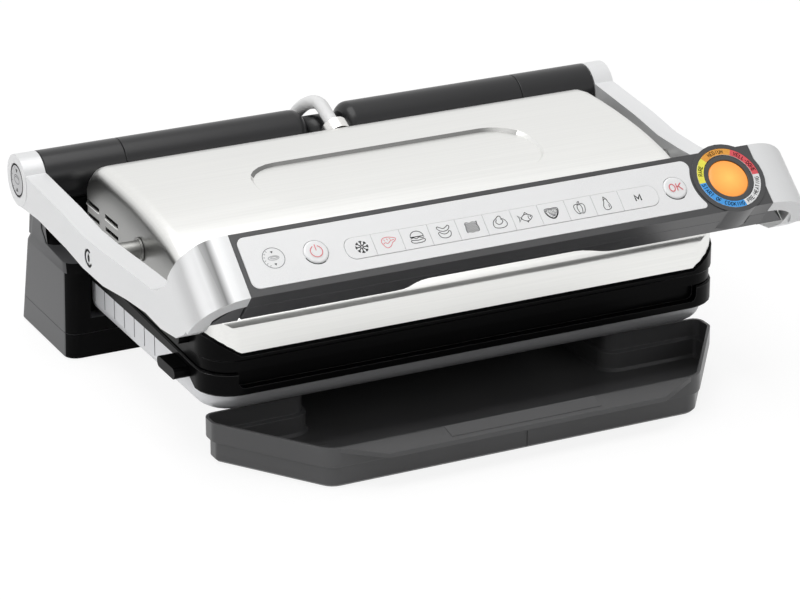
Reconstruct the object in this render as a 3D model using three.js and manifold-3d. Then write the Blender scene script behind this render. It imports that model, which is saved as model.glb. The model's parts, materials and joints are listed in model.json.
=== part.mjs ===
// Countertop contact grill with a hinged lid, a U-shaped handle and a drip tray.
// Millimetres. +X is the user's right, -Y the front, +Z up.
// The origin lies on the table, under the middle of the grill.
import * as THREE from 'three';
import { mergeVertices } from 'three/addons/utils/BufferGeometryUtils.js';
import Module from 'manifold-3d';

const wasm = await Module();
wasm.setup();

// Driving dimensions of the whole grill
const overallDepth = 416.5;
const gap = 0.3;
const slack = 0.8;
const overrun = 4;
const edgeEase = 1;
const cornerSteps = 6;
const roundSides = 32;
const smallSides = 20;

// Rear hinge line
const hingeInset = 68.25;
const hingeZ = 137.5;
const hubRadius = 20;
const hubMargin = 41.4;
const hubWidth = 16.7;
const shaftRadius = 8;
const shaftSocketDepth = 9;

// Cooking body: the seam between the lower housing and the lid falls to the front
const bodyHalfWidth = 209;
const bodyFrontInset = 86.25;
const bodyHingeGap = 27;
const bodyFrontRadius = 26;
const bodyRearRadius = 7;
const leastRadius = 3;
const seamFrontZ = 68.5;
const seamRise = 7.5;
const seamOpening = 1.2;
const skirtCrease = 9;
const skirtStep = 1.5;
const skirtShoulder = 2.4;

// Lid shell of pressed steel, domed from front to rear and level across
const shellInset = 1.5;
const shellWall = 1.5;
const shellSideEdgeZ = 100;
const shellFrontEdgeZ = 83.6;
const shellTopZ = 159;
const shellSideRadius = 11;
// Points of the lid's side outline: share of its depth, share of its height above the front edge
const lidProfileShares = [
  [0, 0], [0, 0.215], [0.003, 0.26], [0.012, 0.3], [0.026, 0.335], [0.09, 0.475],
  [0.156, 0.61], [0.21, 0.71], [0.255, 0.775], [0.32, 0.846], [0.372, 0.884],
  [0.445, 0.924], [0.518, 0.954], [0.6, 0.977], [0.68, 0.992], [0.765, 1],
  [0.855, 1], [0.902, 0.978], [0.943, 0.925], [0.97, 0.848], [0.988, 0.75],
  [0.997, 0.63], [1, 0.5], [1, 0.2],
];
const recessHalfWidth = 115;
const recessFrontShare = 0.374;
const recessRearShare = 0.681;
const recessRadius = 30;
const recessDepth = 2.2;
const ventCount = 8;
const ventPitch = 21.6;
const ventFirstX = 25.3;
const ventWidth = 3.2;
const ventInset = 21.2;
const ventLength = 12;
const ventDepth = 22;
const louvreLength = 25;
const louvreHeight = 3;
const louvreDepth = 6;
const louvreLowZ = 114;
const louvrePitchZ = 10;
const louvreInset = 67;
const louvrePitchY = 37;
const louvreRows = 2;
const louvreColumns = 2;

// Plates and what heats them, measured from the seam plane
const plateMargin = 19;
const plateGap = 6;
const plateRadius = 14;
const plateSkin = 4;
const ribHeight = 5;
const ribCount = 19;
const ribMargin = 15.4;
const ribTopWidth = 5;
const ribFootWidth = 9;
const plateRimWidth = 5;
const spoutHalfWidth = 55;
const heaterRadius = 3.5;
const heaterInset = 30;
const heaterMargin = 45;
const heaterBend = 22;
const heaterLegs = 4;
const heaterTubeSteps = 56;
const heaterTubeSides = 3;
const reflectorDepth = 8.5;
const reflectorSheet = 1;
const reflectorFlange = 5;

// Lower housing and the silver bowl that carries it
const seatWidth = 7;
const ledgeThick = 3.7;
const bowlInset = 3;
const bowlWall = 2.5;
const bowlRimZ = 62.5;
const bowlFrontRimZ = 50.7;
const bowlFrontDip = 22;
const bowlFrontInset = 9;
const bowlFloorZ = 34;
const bowlFootRadius = 15;
const bowlFootRise = 12;
const bowlRimGap = 0.9;
const lipClearance = 2.3;
const notchInset = 23;
const notchFloorZ = 57;
const notchDepth = 7;
const notchRound = 5;
const grooveCount = 7;
const groovePitch = 19.4;
const grooveInset = 106;
const grooveWidth = 1.4;
const grooveDepth = 1.2;

// Rear housing, its shoe and towers
const housingMargin = 19.3;
const housingHingeGap = 41;
const housingCorner = 10;
const housingWall = 3;
const shoeTopZ = 21.2;
const shoeFloat = 1;
const shoulderZ = 71;
const shoulderStepX = 2.5;
const shoulderStepY = 8;
const shoulderStepZ = 5.4;
const deckHingeGap = 3;
const deckFrontZ = 79;
const deckStepZ = 9;
const deckTopZ = 109;
const deckTopInset = 12;
const deckTopDepth = 27;
const frontLeanY = 4;
const rearLeanY = 22;
const rearKneeZ = 91;
const towerWidth = 57.3;
const towerNeckZ = 100;
const knuckleLap = 2.3;
const padSize = 24;
const padHeight = 3;

// Front feet
const footWidth = 34;
const footInset = 40;
const footLength = 32;
const footRound = 6;

// Cross bar covers on the hinge line
const coverInnerX = 15.8;
const coverEndRound = 9;

// Handle arms
const armThick = 16.5;
const armHubInset = 5.4;
const armFlareInset = 4;
const armDrop = 27.4;
const armChin = 28.8;
const armCrestS = 41;
const armCrestDepth = 31.6;
// Points of an arm's side outline: share of the way from the panel's foot to the hinge,
// and share of the height from the lowest underside to the hinge line
const armUnderShares = [
  [0.077, 0.584], [0.122, 0.292], [0.203, 0.179], [0.283, 0.263],
  [0.385, 0.182], [0.512, 0], [0.624, 0.036], [0.716, 0.19], [0.877, 0.347],
];
const armOverShares = [
  [0.95, 1.332], [0.742, 1.142], [0.629, 0.971], [0.535, 0.967],
  [0.437, 1.007], [0.336, 1.044], [0.256, 1.051], [0.229, 1.099], [0.175, 1.449],
];
const pivotShare = 0.5362;
const pivotZ = 122.5;
const pivotBoreRadius = 6.4;
const screwHeadRadius = 6.8;
const screwHeadDepth = 3;
const screwSlotWidth = 1.6;
const pivotSpigotRadius = 4;
const pivotWasherRadius = 9;
const pivotWasherThick = 1.5;
const pivotCollarRadius = 7;
const pivotSideGap = 0.2;
const badgeRadius = 13;
const badgeDepth = 1.6;

// Control panel, in its own plane: x along it, s up its slope, n out of its face
const panelTilt = THREE.MathUtils.degToRad(40);
const panelFootInset = 17.05;
const panelFootZ = 155.4;
const panelHeight = 50;
const panelArmInset = 39;
const panelDepth = 24;
const panelFrontDepth = 14;
const panelWall = 2.5;
const capBend = 34;
const capFace = 12;
const capDropS = 2;
const linerInset = 1.5;
const fasciaLowS = 5.6;
const fasciaHighS = 46.3;
const fasciaInset = 4;
const fasciaThick = 1.4;
const fasciaRadius = 6;
const fasciaTipHighRadius = 6;
const fasciaTipLowRadius = 3;
const fasciaLedge = 2.2;
const dialInset = 26.5;
const dialS = 25.8;
const dialRadius = 28.4;
const dialRise = 0.8;
const dialMargin = 1.6;
const colourOuter = 24.7;
const colourInner = 19.2;
const colourThick = 1.2;
const lensRadius = 15.2;
const lensRise = 1.5;
const lensSeat = 0.6;
const bezelRise = 0.4;
const okInset = 44.7;
const powerInset = 21.4;
const buttonS = 25.6;
const buttonRadius = 9;
const buttonRise = 0.9;
const stripLeftInset = 78.8;
const stripRightInset = 15.6;
const stripLowS = 14.8;
const stripHighS = 31.4;
const stripRound = 7;
const keyCount = 11;
const keyLastWidth = 30.2;
const keyRise = 0.3;
const boardThick = 1.3;
const keyClearance = 0.9;
const gripHalfWidth = 58;
const gripFlare = 30;
const gripS = 7;
const backDepth = 34;
const backChinDepth = 30;
const backChinS = 6;
const backHeelS = 24;
const backTopDepth = 20;

// Release tabs of the two plates
const tabInset = 34;
const tabLength = 32;
const tabHeight = 8.5;
const tabRound = 3.8;
const lowerTabZ = 57;
const lowerTabOut = 15;
const upperTabZ = 83.5;
const upperTabHeight = 8.5;
const upperTabOut = 8;
const tabInside = 10;
const tabTravel = 4;
const tabSeat = 3;
const springRadius = 3;
const springWire = 1;
const springBore = 8;

// Drip tray
const lipReach = 15.85;
const trayFrontInset = 61;
const trayWideInset = 5;
const trayNeckInset = 83.5;
const traySideInset = 8;
const trayWideInsetY = 26;
const trayRearInset = 33;
const trayFloat = 0.3;
const trayRimZ = 31.5;
const trayBandZ = 17;
const trayBandStep = 3;
const trayWall = 2.2;
const trayCorner = 18;
const trayEndCorner = 8;
const trayNeckCorner = 9;
const trayFloorRound = 2;
const trayCornerSteps = 4;
const lipInset = 68;
const lipTaper = 30;
const lipThick = 3.6;
const lipDrop = 3.5;
const lipBeadHalf = 60;
const lipBeadWidth = 2;
const lipBeadRise = 0.6;
const lipBeadInset = 4;
const trayMarkX = 7.4;
const trayMarkWidth = 1.6;
const trayMarkDepth = 0.7;

// Wiring sleeve between the rear housing and the lid
const sleeveRadius = 5.3;
const sleeveSteps = 30;
const sleeveSides = 5;
const sleeveHousingX = -12;
const sleeveHingeGap = 28;
const glandTilt = THREE.MathUtils.degToRad(65);
const glandRadius = 10.5;
const glandFoot = 8;
const glandHeight = 4;
const glandBore = 5.7;
const glandX = -4;
const glandInset = 9.2;
const glandDrop = 7.6;

// Cord inlet bush in the rear wall
const inletInset = 73.5;
const inletZ = 36;
const inletRadius = 9;
const inletBore = 4;
const inletInside = 12;
const inletFlange = 12;
const inletFlangeThick = 2.5;

// Mains board in the rear housing
const mainsHalfWidth = 110;
const mainsHeight = 26;
// Blocks on the mains board: left, front, width and depth as shares of the board, height as a share
const mainsBlockShares = [
  [0.05, 0.2, 0.22, 0.6, 1], [0.32, 0.1, 0.08, 0.35, 0.6], [0.32, 0.55, 0.08, 0.35, 0.6],
  [0.46, 0.25, 0.18, 0.5, 0.75], [0.72, 0.15, 0.2, 0.25, 0.5],
];

// Places along the depth
const rearY = overallDepth / 2;
const lipFrontY = -overallDepth / 2;
const hingeY = rearY - hingeInset;
const bodyFrontY = lipFrontY + bodyFrontInset;
const bodyRearY = hingeY - bodyHingeGap;
const seamAngle = Math.atan2(seamRise, bodyRearY - bodyFrontY);
const pivotY = THREE.MathUtils.lerp(bodyFrontY, bodyRearY, pivotShare);
const bowlTopFrontY = bodyFrontY + bowlFrontInset;
const housingFrontY = hingeY - housingHingeGap;
const deckFrontY = hingeY + deckHingeGap;
const deckTopFrontY = hingeY + deckTopInset;
const deckTopRearY = deckTopFrontY + deckTopDepth;
const footFrontY = bodyFrontY + footInset;
const armFlareFromY = bodyFrontY + armFlareInset;
const panelFootY = lipFrontY + panelFootInset;
const tabFrontY = bodyFrontY + tabInset;
const trayFrontY = lipFrontY + lipReach;
const traySideFrontY = bodyFrontY + traySideInset;
const trayWideRearY = bodyFrontY + trayWideInsetY;
const trayRearY = bodyRearY - trayRearInset;
const sleeveHousingY = hingeY + sleeveHingeGap;
const glandY = bodyRearY - glandInset;
const glandZ = shellTopZ - glandDrop;
const rimStartY = bodyFrontY + bodyFrontRadius;
const rimStopY = rimStartY + bowlFrontDip;

// Places across the width
const hubOuterX = bodyHalfWidth + hubMargin;
const hubInnerX = hubOuterX - hubWidth;
const armFrontX = hubOuterX - armHubInset;
const panelHalfWidth = armFrontX - panelArmInset;
const plateHalfWidth = bodyHalfWidth - plateMargin;
const ribPitch = 2 * (plateHalfWidth - ribMargin) / (ribCount - 1);
const heaterHalfWidth = plateHalfWidth - heaterInset;
const bowlHalfWidth = bodyHalfWidth - bowlInset;
const notchHalfWidth = bodyHalfWidth - notchInset;
const housingHalfWidth = bodyHalfWidth + housingMargin;
const towerInnerX = housingHalfWidth - towerWidth;
const knuckleInnerX = towerInnerX - knuckleLap;
const fasciaLeftX = -panelHalfWidth + fasciaInset;
const dialX = panelHalfWidth - dialInset;
const okX = dialX - okInset;
const stripRightX = okX - stripRightInset;
const stripLeftX = -panelHalfWidth + stripLeftInset;
const buttonX = stripLeftX - powerInset;
const keyPitch = (stripRightX - stripLeftX - keyLastWidth) / (keyCount - 1);
const trayFrontHalf = bodyHalfWidth - trayFrontInset;
const trayWideHalf = bodyHalfWidth - trayWideInset;
const trayNeckHalf = bodyHalfWidth - trayNeckInset;
const lipHalfWidth = bodyHalfWidth - lipInset;
const inletX = -housingHalfWidth + inletInset;

// Sizes that follow from the others
const seatInset = plateMargin - slack;
const ledgeInset = seatInset + seatWidth;
const plateStack = plateGap / 2 + ribHeight + plateSkin;
const reflectorInset = seatWidth + gap;
const shellLowZ = seamFrontZ - shellSideRadius;
const panelPlace = new THREE.Matrix4()
  .makeTranslation(0, panelFootY, panelFootZ)
  .multiply(new THREE.Matrix4().makeRotationX(panelTilt));
const sideTurn = new THREE.Matrix4().makeBasis(
  new THREE.Vector3(0, 1, 0),
  new THREE.Vector3(0, 0, 1),
  new THREE.Vector3(1, 0, 0),
);

// Height of the seam plane at a given depth
function seamZ(y) {
  return seamFrontZ + (y - bodyFrontY) * Math.tan(seamAngle);
}

// Side outline of the lid, drawn in by a wall, from the front wall over the top to the rear wall
function lidProfile(wall) {
  const front = bodyFrontY + shellInset;
  const depth = bodyRearY - bodyFrontY - 2 * shellInset;
  const rise = shellTopZ - shellFrontEdgeZ;
  const line = lidProfileShares.map(([y, z]) => (
    new THREE.Vector2(front + y * depth, shellFrontEdgeZ + z * rise)
  ));
  return line.map((p, i) => {
    const before = line[Math.max(i - 1, 0)];
    const after = line[Math.min(i + 1, line.length - 1)];
    const along = after.clone().sub(before).normalize();
    return new THREE.Vector2(p.x + wall * along.y, p.y - wall * along.x);
  });
}

// Height of the lid's outer face at a given depth, away from its sides
function lidTopZ(y) {
  const line = lidProfile(0);
  let i = 1;
  while (i < line.length - 1 && line[i].x < y) {
    i += 1;
  }
  const run = line[i].x - line[i - 1].x;
  const share = run > 0 ? (y - line[i - 1].x) / run : 1;
  return THREE.MathUtils.lerp(line[i - 1].y, line[i].y, THREE.MathUtils.clamp(share, 0, 1));
}

// Manifold solid of a closed geometry
function solidOf(geometry) {
  const bare = geometry.clone();
  bare.deleteAttribute('normal');
  bare.deleteAttribute('uv');
  const merged = mergeVertices(bare);
  return new wasm.Manifold(new wasm.Mesh({
    numProp: 3,
    vertProperties: new Float32Array(merged.attributes.position.array),
    triVerts: new Uint32Array(merged.index.array),
  }));
}

// Geometry of a manifold solid
function geometryOf(solid) {
  const mesh = solid.getMesh();
  const geometry = new THREE.BufferGeometry();
  geometry.setAttribute('position', new THREE.BufferAttribute(mesh.vertProperties, 3));
  geometry.setIndex(new THREE.BufferAttribute(mesh.triVerts, 1));
  return geometry;
}

function join(...geometries) {
  return geometryOf(geometries.map(solidOf).reduce((a, b) => a.add(b)));
}

function cut(geometry, ...tools) {
  return geometryOf(tools.map(solidOf).reduce((a, b) => a.subtract(b), solidOf(geometry)));
}

function common(a, b) {
  return geometryOf(solidOf(a).intersect(solidOf(b)));
}

// The same piece on the other side of the grill
function mirrored(geometry) {
  const copy = geometry.clone().scale(-1, 1, 1);
  if (!copy.index) {
    copy.setIndex([...Array(copy.attributes.position.count).keys()]);
  }
  const corners = copy.index;
  for (let i = 0; i < corners.count; i += 3) {
    const first = corners.getX(i);
    corners.setX(i, corners.getX(i + 2));
    corners.setX(i + 2, first);
  }
  return copy;
}

// Closed solid through outlines of equal point counts; a ring closes on itself
function loft(outlines, ring = false) {
  const count = outlines[0].length;
  const positions = outlines.flat().flatMap((p) => [p.x, p.y, p.z]);
  const indices = [];
  const last = ring ? outlines.length : outlines.length - 1;
  for (let level = 0; level < last; level += 1) {
    const low = level * count;
    const high = ((level + 1) % outlines.length) * count;
    for (let i = 0; i < count; i += 1) {
      const next = (i + 1) % count;
      indices.push(low + i, low + next, high + next, low + i, high + next, high + i);
    }
  }
  if (!ring) {
    const top = (outlines.length - 1) * count;
    const flat = (outline) => outline.map((p) => new THREE.Vector2(p.x, p.y));
    for (const [a, b, c] of THREE.ShapeUtils.triangulateShape(flat(outlines[0]), [])) {
      indices.push(c, b, a);
    }
    for (const [a, b, c] of THREE.ShapeUtils.triangulateShape(flat(outlines[outlines.length - 1]), [])) {
      indices.push(top + a, top + b, top + c);
    }
  }
  const geometry = new THREE.BufferGeometry();
  geometry.setAttribute('position', new THREE.Float32BufferAttribute(positions, 3));
  geometry.setIndex(indices);
  return geometry;
}

// Rounded rectangle seen from above, counter-clockwise; height is a number or a function of x and y.
// A stop adds one more point to each straight side, at that depth.
function roundedRing(half, frontY, backY, frontRadius, backRadius, height, stopY) {
  const heightAt = (x, y) => (typeof height === 'function' ? height(x, y) : height);
  const corners = [
    [-half + frontRadius, frontY + frontRadius, frontRadius, 2],
    [half - frontRadius, frontY + frontRadius, frontRadius, 3],
    [half - backRadius, backY - backRadius, backRadius, 0],
    [-half + backRadius, backY - backRadius, backRadius, 1],
  ];
  const points = [];
  for (const [x, y, radius, quarter] of corners) {
    for (let step = 0; step <= cornerSteps; step += 1) {
      const angle = (quarter + step / cornerSteps) * Math.PI / 2;
      const px = x + radius * Math.cos(angle);
      const py = y + radius * Math.sin(angle);
      points.push(new THREE.Vector3(px, py, heightAt(px, py)));
    }
    if (stopY !== undefined && quarter % 2 === 1) {
      const side = quarter === 3 ? half : -half;
      points.push(new THREE.Vector3(side, stopY, heightAt(side, stopY)));
    }
  }
  return points;
}

// The cooking body's outline drawn in by an inset
function bodyRing(inset, height) {
  return roundedRing(
    bodyHalfWidth - inset,
    bodyFrontY + inset,
    bodyRearY - inset,
    Math.max(bodyFrontRadius - inset, leastRadius),
    Math.max(bodyRearRadius - inset, leastRadius),
    height,
    rimStopY,
  );
}

function box(x0, x1, y0, y1, z0, z1) {
  return new THREE.BoxGeometry(x1 - x0, y1 - y0, z1 - z0)
    .translate((x0 + x1) / 2, (y0 + y1) / 2, (z0 + z1) / 2);
}

// Cylinder along X
function rod(radius, x0, x1, y, z, sides = roundSides) {
  return new THREE.CylinderGeometry(radius, radius, x1 - x0, sides)
    .rotateZ(Math.PI / 2)
    .translate((x0 + x1) / 2, y, z);
}

// Cylinder along the panel's normal
function stud(radius, x, s, n0, n1, sides = roundSides) {
  return new THREE.CylinderGeometry(radius, radius, n1 - n0, sides)
    .rotateX(Math.PI / 2)
    .translate(x, s, (n0 + n1) / 2);
}

function shapeOf(points) {
  return new THREE.Shape(points.map(([a, b]) => new THREE.Vector2(a, b)));
}

function extrude(shape, depth) {
  return new THREE.ExtrudeGeometry(shape, { depth, bevelEnabled: false, curveSegments: cornerSteps });
}

// Outline in depth and height, extruded across the grill
function sideExtrude(shape, x0, x1) {
  return extrude(shape, x1 - x0).applyMatrix4(sideTurn).translate(x0, 0, 0);
}

// Outline in width and height, extruded from front to rear
function frontExtrude(shape, y0, y1) {
  return extrude(shape, y1 - y0).rotateX(Math.PI / 2).translate(0, y1, 0);
}

// Rounded rectangle as a shape
function roundedShape(x0, x1, y0, y1, radius) {
  const shape = new THREE.Shape();
  shape.moveTo(x0 + radius, y0);
  shape.lineTo(x1 - radius, y0);
  shape.absarc(x1 - radius, y0 + radius, radius, -Math.PI / 2, 0);
  shape.lineTo(x1, y1 - radius);
  shape.absarc(x1 - radius, y1 - radius, radius, 0, Math.PI / 2);
  shape.lineTo(x0 + radius, y1);
  shape.absarc(x0 + radius, y1 - radius, radius, Math.PI / 2, Math.PI);
  shape.lineTo(x0, y0 + radius);
  shape.absarc(x0 + radius, y0 + radius, radius, Math.PI, 1.5 * Math.PI);
  return shape;
}

function material(color, roughness, metalness) {
  return new THREE.MeshStandardMaterial({ color, roughness, metalness });
}

// Finishes
const steel = () => material(0xd9d8d2, 0.32, 1);
const silver = () => material(0xd2d3d5, 0.38, 0.6);
const paleSilver = () => material(0xe6e7e8, 0.35, 0.4);
const black = () => material(0x0c0c0d, 0.35, 0);
const graphite = () => material(0x3c3c3e, 0.5, 0);
const satinBlack = () => material(0x232326, 0.4, 0);
const coating = () => material(0x26241f, 0.55, 0.2);
const whitePanel = () => material(0xeceeef, 0.4, 0.1);
const rubber = () => material(0x151515, 0.8, 0);
const plated = () => material(0xb8b8b4, 0.3, 1);
const boardGreen = () => material(0x1f5a3a, 0.6, 0);
const paleSleeve = () => material(0xe9e9e9, 0.6, 0);

const grill = new THREE.Group();

function place(name, geometry, finish, parent = grill) {
  const mesh = new THREE.Mesh(geometry, finish);
  mesh.name = name;
  parent.add(mesh);
  return mesh;
}

// Lower edge of the steel shell: low and level across the front, rising round the corners to the sides
function shellEdge(half, frontY, radius) {
  return (x, y) => {
    if (y > frontY + radius) {
      return shellSideEdgeZ;
    }
    const reach = THREE.MathUtils.clamp((Math.abs(x) - half + radius) / radius, 0, 1);
    return THREE.MathUtils.lerp(shellFrontEdgeZ, shellSideEdgeZ, reach);
  };
}

function bodyEdge(inset, lift) {
  const edge = shellEdge(bodyHalfWidth - inset, bodyFrontY + inset, bodyFrontRadius - inset);
  return (x, y) => edge(x, y) + lift;
}

// Body of the lid down to the seam, drawn in by a wall; its side shoulders are rounded
function lidDome(wall) {
  const half = bodyHalfWidth - shellInset - wall;
  const radius = shellSideRadius - wall;
  const line = lidProfile(wall).reverse();
  const low = shellLowZ - wall;
  const section = (side, step) => {
    const angle = step / cornerSteps * Math.PI / 2;
    const x = side * (half - radius * (1 - Math.cos(angle)));
    const drop = radius * (1 - Math.sin(angle));
    return [
      new THREE.Vector3(line[line.length - 1].x, low, x),
      new THREE.Vector3(line[0].x, low, x),
      ...line.map((p) => new THREE.Vector3(p.x, p.y - drop, x)),
    ];
  };
  const sections = [];
  for (let step = 0; step <= cornerSteps; step += 1) {
    sections.push(section(-1, step));
  }
  for (let step = cornerSteps; step >= 0; step -= 1) {
    sections.push(section(1, step));
  }
  const plan = loft([
    bodyRing(shellInset + wall, low - overrun),
    bodyRing(shellInset + wall, shellTopZ + overrun),
  ]);
  return common(loft(sections).applyMatrix4(sideTurn), plan);
}

// Band round the wall of the lid, from below up to the steel's lower edge
function edgeTrim() {
  const inner = shellInset + shellWall + overrun;
  return loft([
    bodyRing(-overrun, shellLowZ - overrun),
    bodyRing(-overrun, bodyEdge(-overrun, 0)),
    bodyRing(inner, bodyEdge(inner, 0)),
    bodyRing(inner, shellLowZ - overrun),
  ], true);
}

// Slots in the right side of the lid, near the rear
function louvres() {
  const slots = [];
  for (let row = 0; row < louvreRows; row += 1) {
    for (let column = 0; column < louvreColumns; column += 1) {
      const y = bodyRearY - louvreInset + column * louvrePitchY;
      const z = louvreLowZ + row * louvrePitchZ;
      slots.push(box(
        bodyHalfWidth - louvreDepth, bodyHalfWidth + overrun,
        y, y + louvreLength,
        z, z + louvreHeight,
      ));
    }
  }
  return slots;
}

// Upright slots over the right half of the lid's rear edge
function rearVents() {
  const y = bodyRearY - ventInset;
  const slots = [];
  for (let i = 0; i < ventCount; i += 1) {
    const x = ventFirstX + i * ventPitch;
    slots.push(box(
      x - ventWidth / 2, x + ventWidth / 2,
      y, y + ventLength,
      shellTopZ - ventDepth, shellTopZ + overrun,
    ));
  }
  return slots;
}

// Sunk field of the lid's top as a tool: its floor follows the dome, its edge slopes
function lidRecess(wall) {
  const depth = recessDepth + wall;
  const frontY = THREE.MathUtils.lerp(bodyFrontY, bodyRearY, recessFrontShare);
  const backY = THREE.MathUtils.lerp(bodyFrontY, bodyRearY, recessRearShare);
  const corner = Math.min(recessRadius, (backY - frontY) / 2 - recessDepth) + wall;
  const ring = (inset, height) => roundedRing(
    recessHalfWidth + wall - inset,
    frontY - wall + inset,
    backY + wall - inset,
    corner - inset,
    corner - inset,
    height,
  );
  const field = loft([
    ring(recessDepth, seamFrontZ),
    ring(recessDepth, (x, y) => lidTopZ(y) - depth),
    ring(-gap, (x, y) => lidTopZ(y) - wall + gap),
    ring(-gap, shellTopZ + overrun),
  ]);
  return cut(field, lidDome(wall).translate(0, 0, -recessDepth));
}

// Cylinder along the gland's axis, centred on its foot
function glandRod(radius, low, high) {
  return new THREE.CylinderGeometry(radius, radius, high - low, smallSides)
    .translate(0, (low + high) / 2, 0)
    .rotateX(Math.PI / 2 - glandTilt)
    .translate(glandX, glandY, glandZ);
}

// Pressed steel shell of the lid
function lidShell() {
  const outer = cut(lidDome(0), lidRecess(0));
  const inside = cut(lidDome(shellWall), lidRecess(shellWall));
  const pivots = rod(pivotSpigotRadius + gap, -hubOuterX, hubOuterX, pivotY, pivotZ, smallSides);
  const hole = glandRod(glandRadius + gap, -glandFoot - overrun, glandHeight + overrun);
  const slots = [...louvres(), ...rearVents()];
  return cut(outer, inside, edgeTrim(), ...slots, ...slots.map(mirrored), pivots, hole);
}

// Black frame of the lid: it carries the upper plate and closes the shell from below
function lidSkirt() {
  const above = (rise) => (x, y) => seamZ(y) + rise;
  const ledge = plateStack + gap;
  const inside = shellInset + shellWall + gap;
  const frame = loft([
    bodyRing(skirtStep, above(seamOpening)),
    bodyRing(skirtStep, above(skirtCrease)),
    bodyRing(0, above(skirtCrease + skirtStep)),
    bodyRing(0, bodyEdge(0, -skirtShoulder)),
    bodyRing(shellInset, bodyEdge(shellInset, -slack)),
    bodyRing(inside, bodyEdge(inside, -slack)),
    bodyRing(ledgeInset, above(ledge + ledgeThick)),
    bodyRing(ledgeInset, above(ledge)),
    bodyRing(seatInset, above(ledge)),
    bodyRing(seatInset, above(seamOpening)),
  ], true);
  return cut(frame, upperTabHole());
}

// Half-width and depth span of a plate, measured inside the body outline
function plateRing(inset, z) {
  return roundedRing(
    plateHalfWidth - inset,
    plateMargin + inset,
    bodyRearY - bodyFrontY - plateMargin - inset,
    plateRadius,
    plateRadius,
    z,
  );
}

// Ribbed plate in its own frame: ribs up, tips at zero
function ribbedPlate() {
  const low = -ribHeight - plateSkin;
  const slab = loft([plateRing(0, low), plateRing(0, -ribHeight)]);
  const rim = loft([
    plateRing(0, -ribHeight - plateSkin / 2),
    plateRing(0, 0),
    plateRing(plateRimWidth, 0),
    plateRing(plateRimWidth, -ribHeight - plateSkin / 2),
  ], true);
  const ribs = [];
  const ribFront = plateMargin + plateRimWidth + plateRadius;
  const ribRear = bodyRearY - bodyFrontY - ribFront;
  for (let i = 0; i < ribCount; i += 1) {
    const x = (i - (ribCount - 1) / 2) * ribPitch;
    ribs.push(frontExtrude(shapeOf([
      [x - ribFootWidth / 2, -ribHeight - plateSkin / 2],
      [x + ribFootWidth / 2, -ribHeight - plateSkin / 2],
      [x + ribTopWidth / 2, 0],
      [x - ribTopWidth / 2, 0],
    ]), ribFront, ribRear));
  }
  return join(slab, rim, ...ribs);
}

function lowerPlate() {
  const spout = box(
    -spoutHalfWidth, spoutHalfWidth,
    plateMargin - overrun, plateMargin + plateRimWidth + gap,
    -ribHeight, overrun,
  );
  return cut(ribbedPlate(), spout);
}

function upperPlate() {
  return ribbedPlate();
}

// Bent heating rod in its own frame: centre line in the plane z = 0
function heater() {
  const front = plateMargin + heaterMargin;
  const back = bodyRearY - bodyFrontY - front;
  const pitch = 2 * heaterHalfWidth / (heaterLegs - 1);
  const path = new THREE.CurvePath();
  let here = new THREE.Vector3(-heaterHalfWidth, back, 0);
  const lineTo = (x, y) => {
    const next = new THREE.Vector3(x, y, 0);
    path.add(new THREE.LineCurve3(here, next));
    here = next;
  };
  const bendTo = (cx, cy, x, y) => {
    const next = new THREE.Vector3(x, y, 0);
    path.add(new THREE.QuadraticBezierCurve3(here, new THREE.Vector3(cx, cy, 0), next));
    here = next;
  };
  for (let leg = 0; leg < heaterLegs - 1; leg += 1) {
    const x = -heaterHalfWidth + leg * pitch;
    const forward = leg % 2 === 0;
    const end = forward ? front : back;
    const bend = forward ? heaterBend : -heaterBend;
    lineTo(x, end + bend);
    bendTo(x, end, x + heaterBend, end);
    lineTo(x + pitch - heaterBend, end);
    bendTo(x + pitch, end, x + pitch, end + bend);
  }
  lineTo(heaterHalfWidth, heaterLegs % 2 === 0 ? back : front);
  const section = new THREE.Shape();
  section.absarc(0, 0, heaterRadius, 0, 2 * Math.PI);
  return { path, section };
}

// Heating rod as a solid tube along its path
function heaterRod() {
  const { path, section } = heater();
  return new THREE.ExtrudeGeometry(section, {
    steps: heaterTubeSteps,
    extrudePath: path,
    bevelEnabled: false,
    curveSegments: heaterTubeSides,
  });
}

// Pan of bright sheet that throws the heat back; opening upwards, flange at zero
function reflector() {
  const inner = reflectorInset + reflectorFlange;
  return loft([
    plateRing(inner, -reflectorDepth),
    plateRing(inner, -reflectorSheet),
    plateRing(reflectorInset, -reflectorSheet),
    plateRing(reflectorInset, 0),
    plateRing(inner + reflectorSheet, 0),
    plateRing(inner + reflectorSheet, -reflectorDepth + reflectorSheet),
  ]);
}

// Lower housing: black frame between the bowl and the seam
function plateSurround() {
  const above = (rise) => (x, y) => seamZ(y) + rise;
  const outerLow = (x, y) => bowlRim(x, y) + bowlRimGap;
  const ledge = -plateStack - gap;
  const underside = above(ledge - ledgeThick);
  const lip = bodyHalfWidth - bowlHalfWidth + bowlWall + lipClearance;
  const frame = loft([
    bodyRing(edgeEase, outerLow),
    bodyRing(0, (x, y) => outerLow(x, y) + edgeEase),
    bodyRing(0, above(-edgeEase)),
    bodyRing(edgeEase, above(0)),
    bodyRing(seatInset, above(0)),
    bodyRing(seatInset, above(ledge)),
    bodyRing(ledgeInset, above(ledge)),
    bodyRing(ledgeInset, underside),
    bodyRing(lip + gap, underside),
    bodyRing(lip, outerLow),
  ], true);
  const notch = frontExtrude(
    roundedShape(-notchHalfWidth, notchHalfWidth, notchFloorZ, seamFrontZ + 2 * overrun, notchRound),
    bodyFrontY - overrun,
    bodyFrontY + notchDepth,
  );
  const seatX = lowerTabSeatX();
  const guide = box(
    seatX - slack, seatX + tabSeat,
    tabFrontY, tabFrontY + tabLength,
    lowerTabZ, seamZ(tabFrontY) + ledge - gap,
  );
  return cut(join(frame, guide), notch, lowerTabHole());
}

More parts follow.
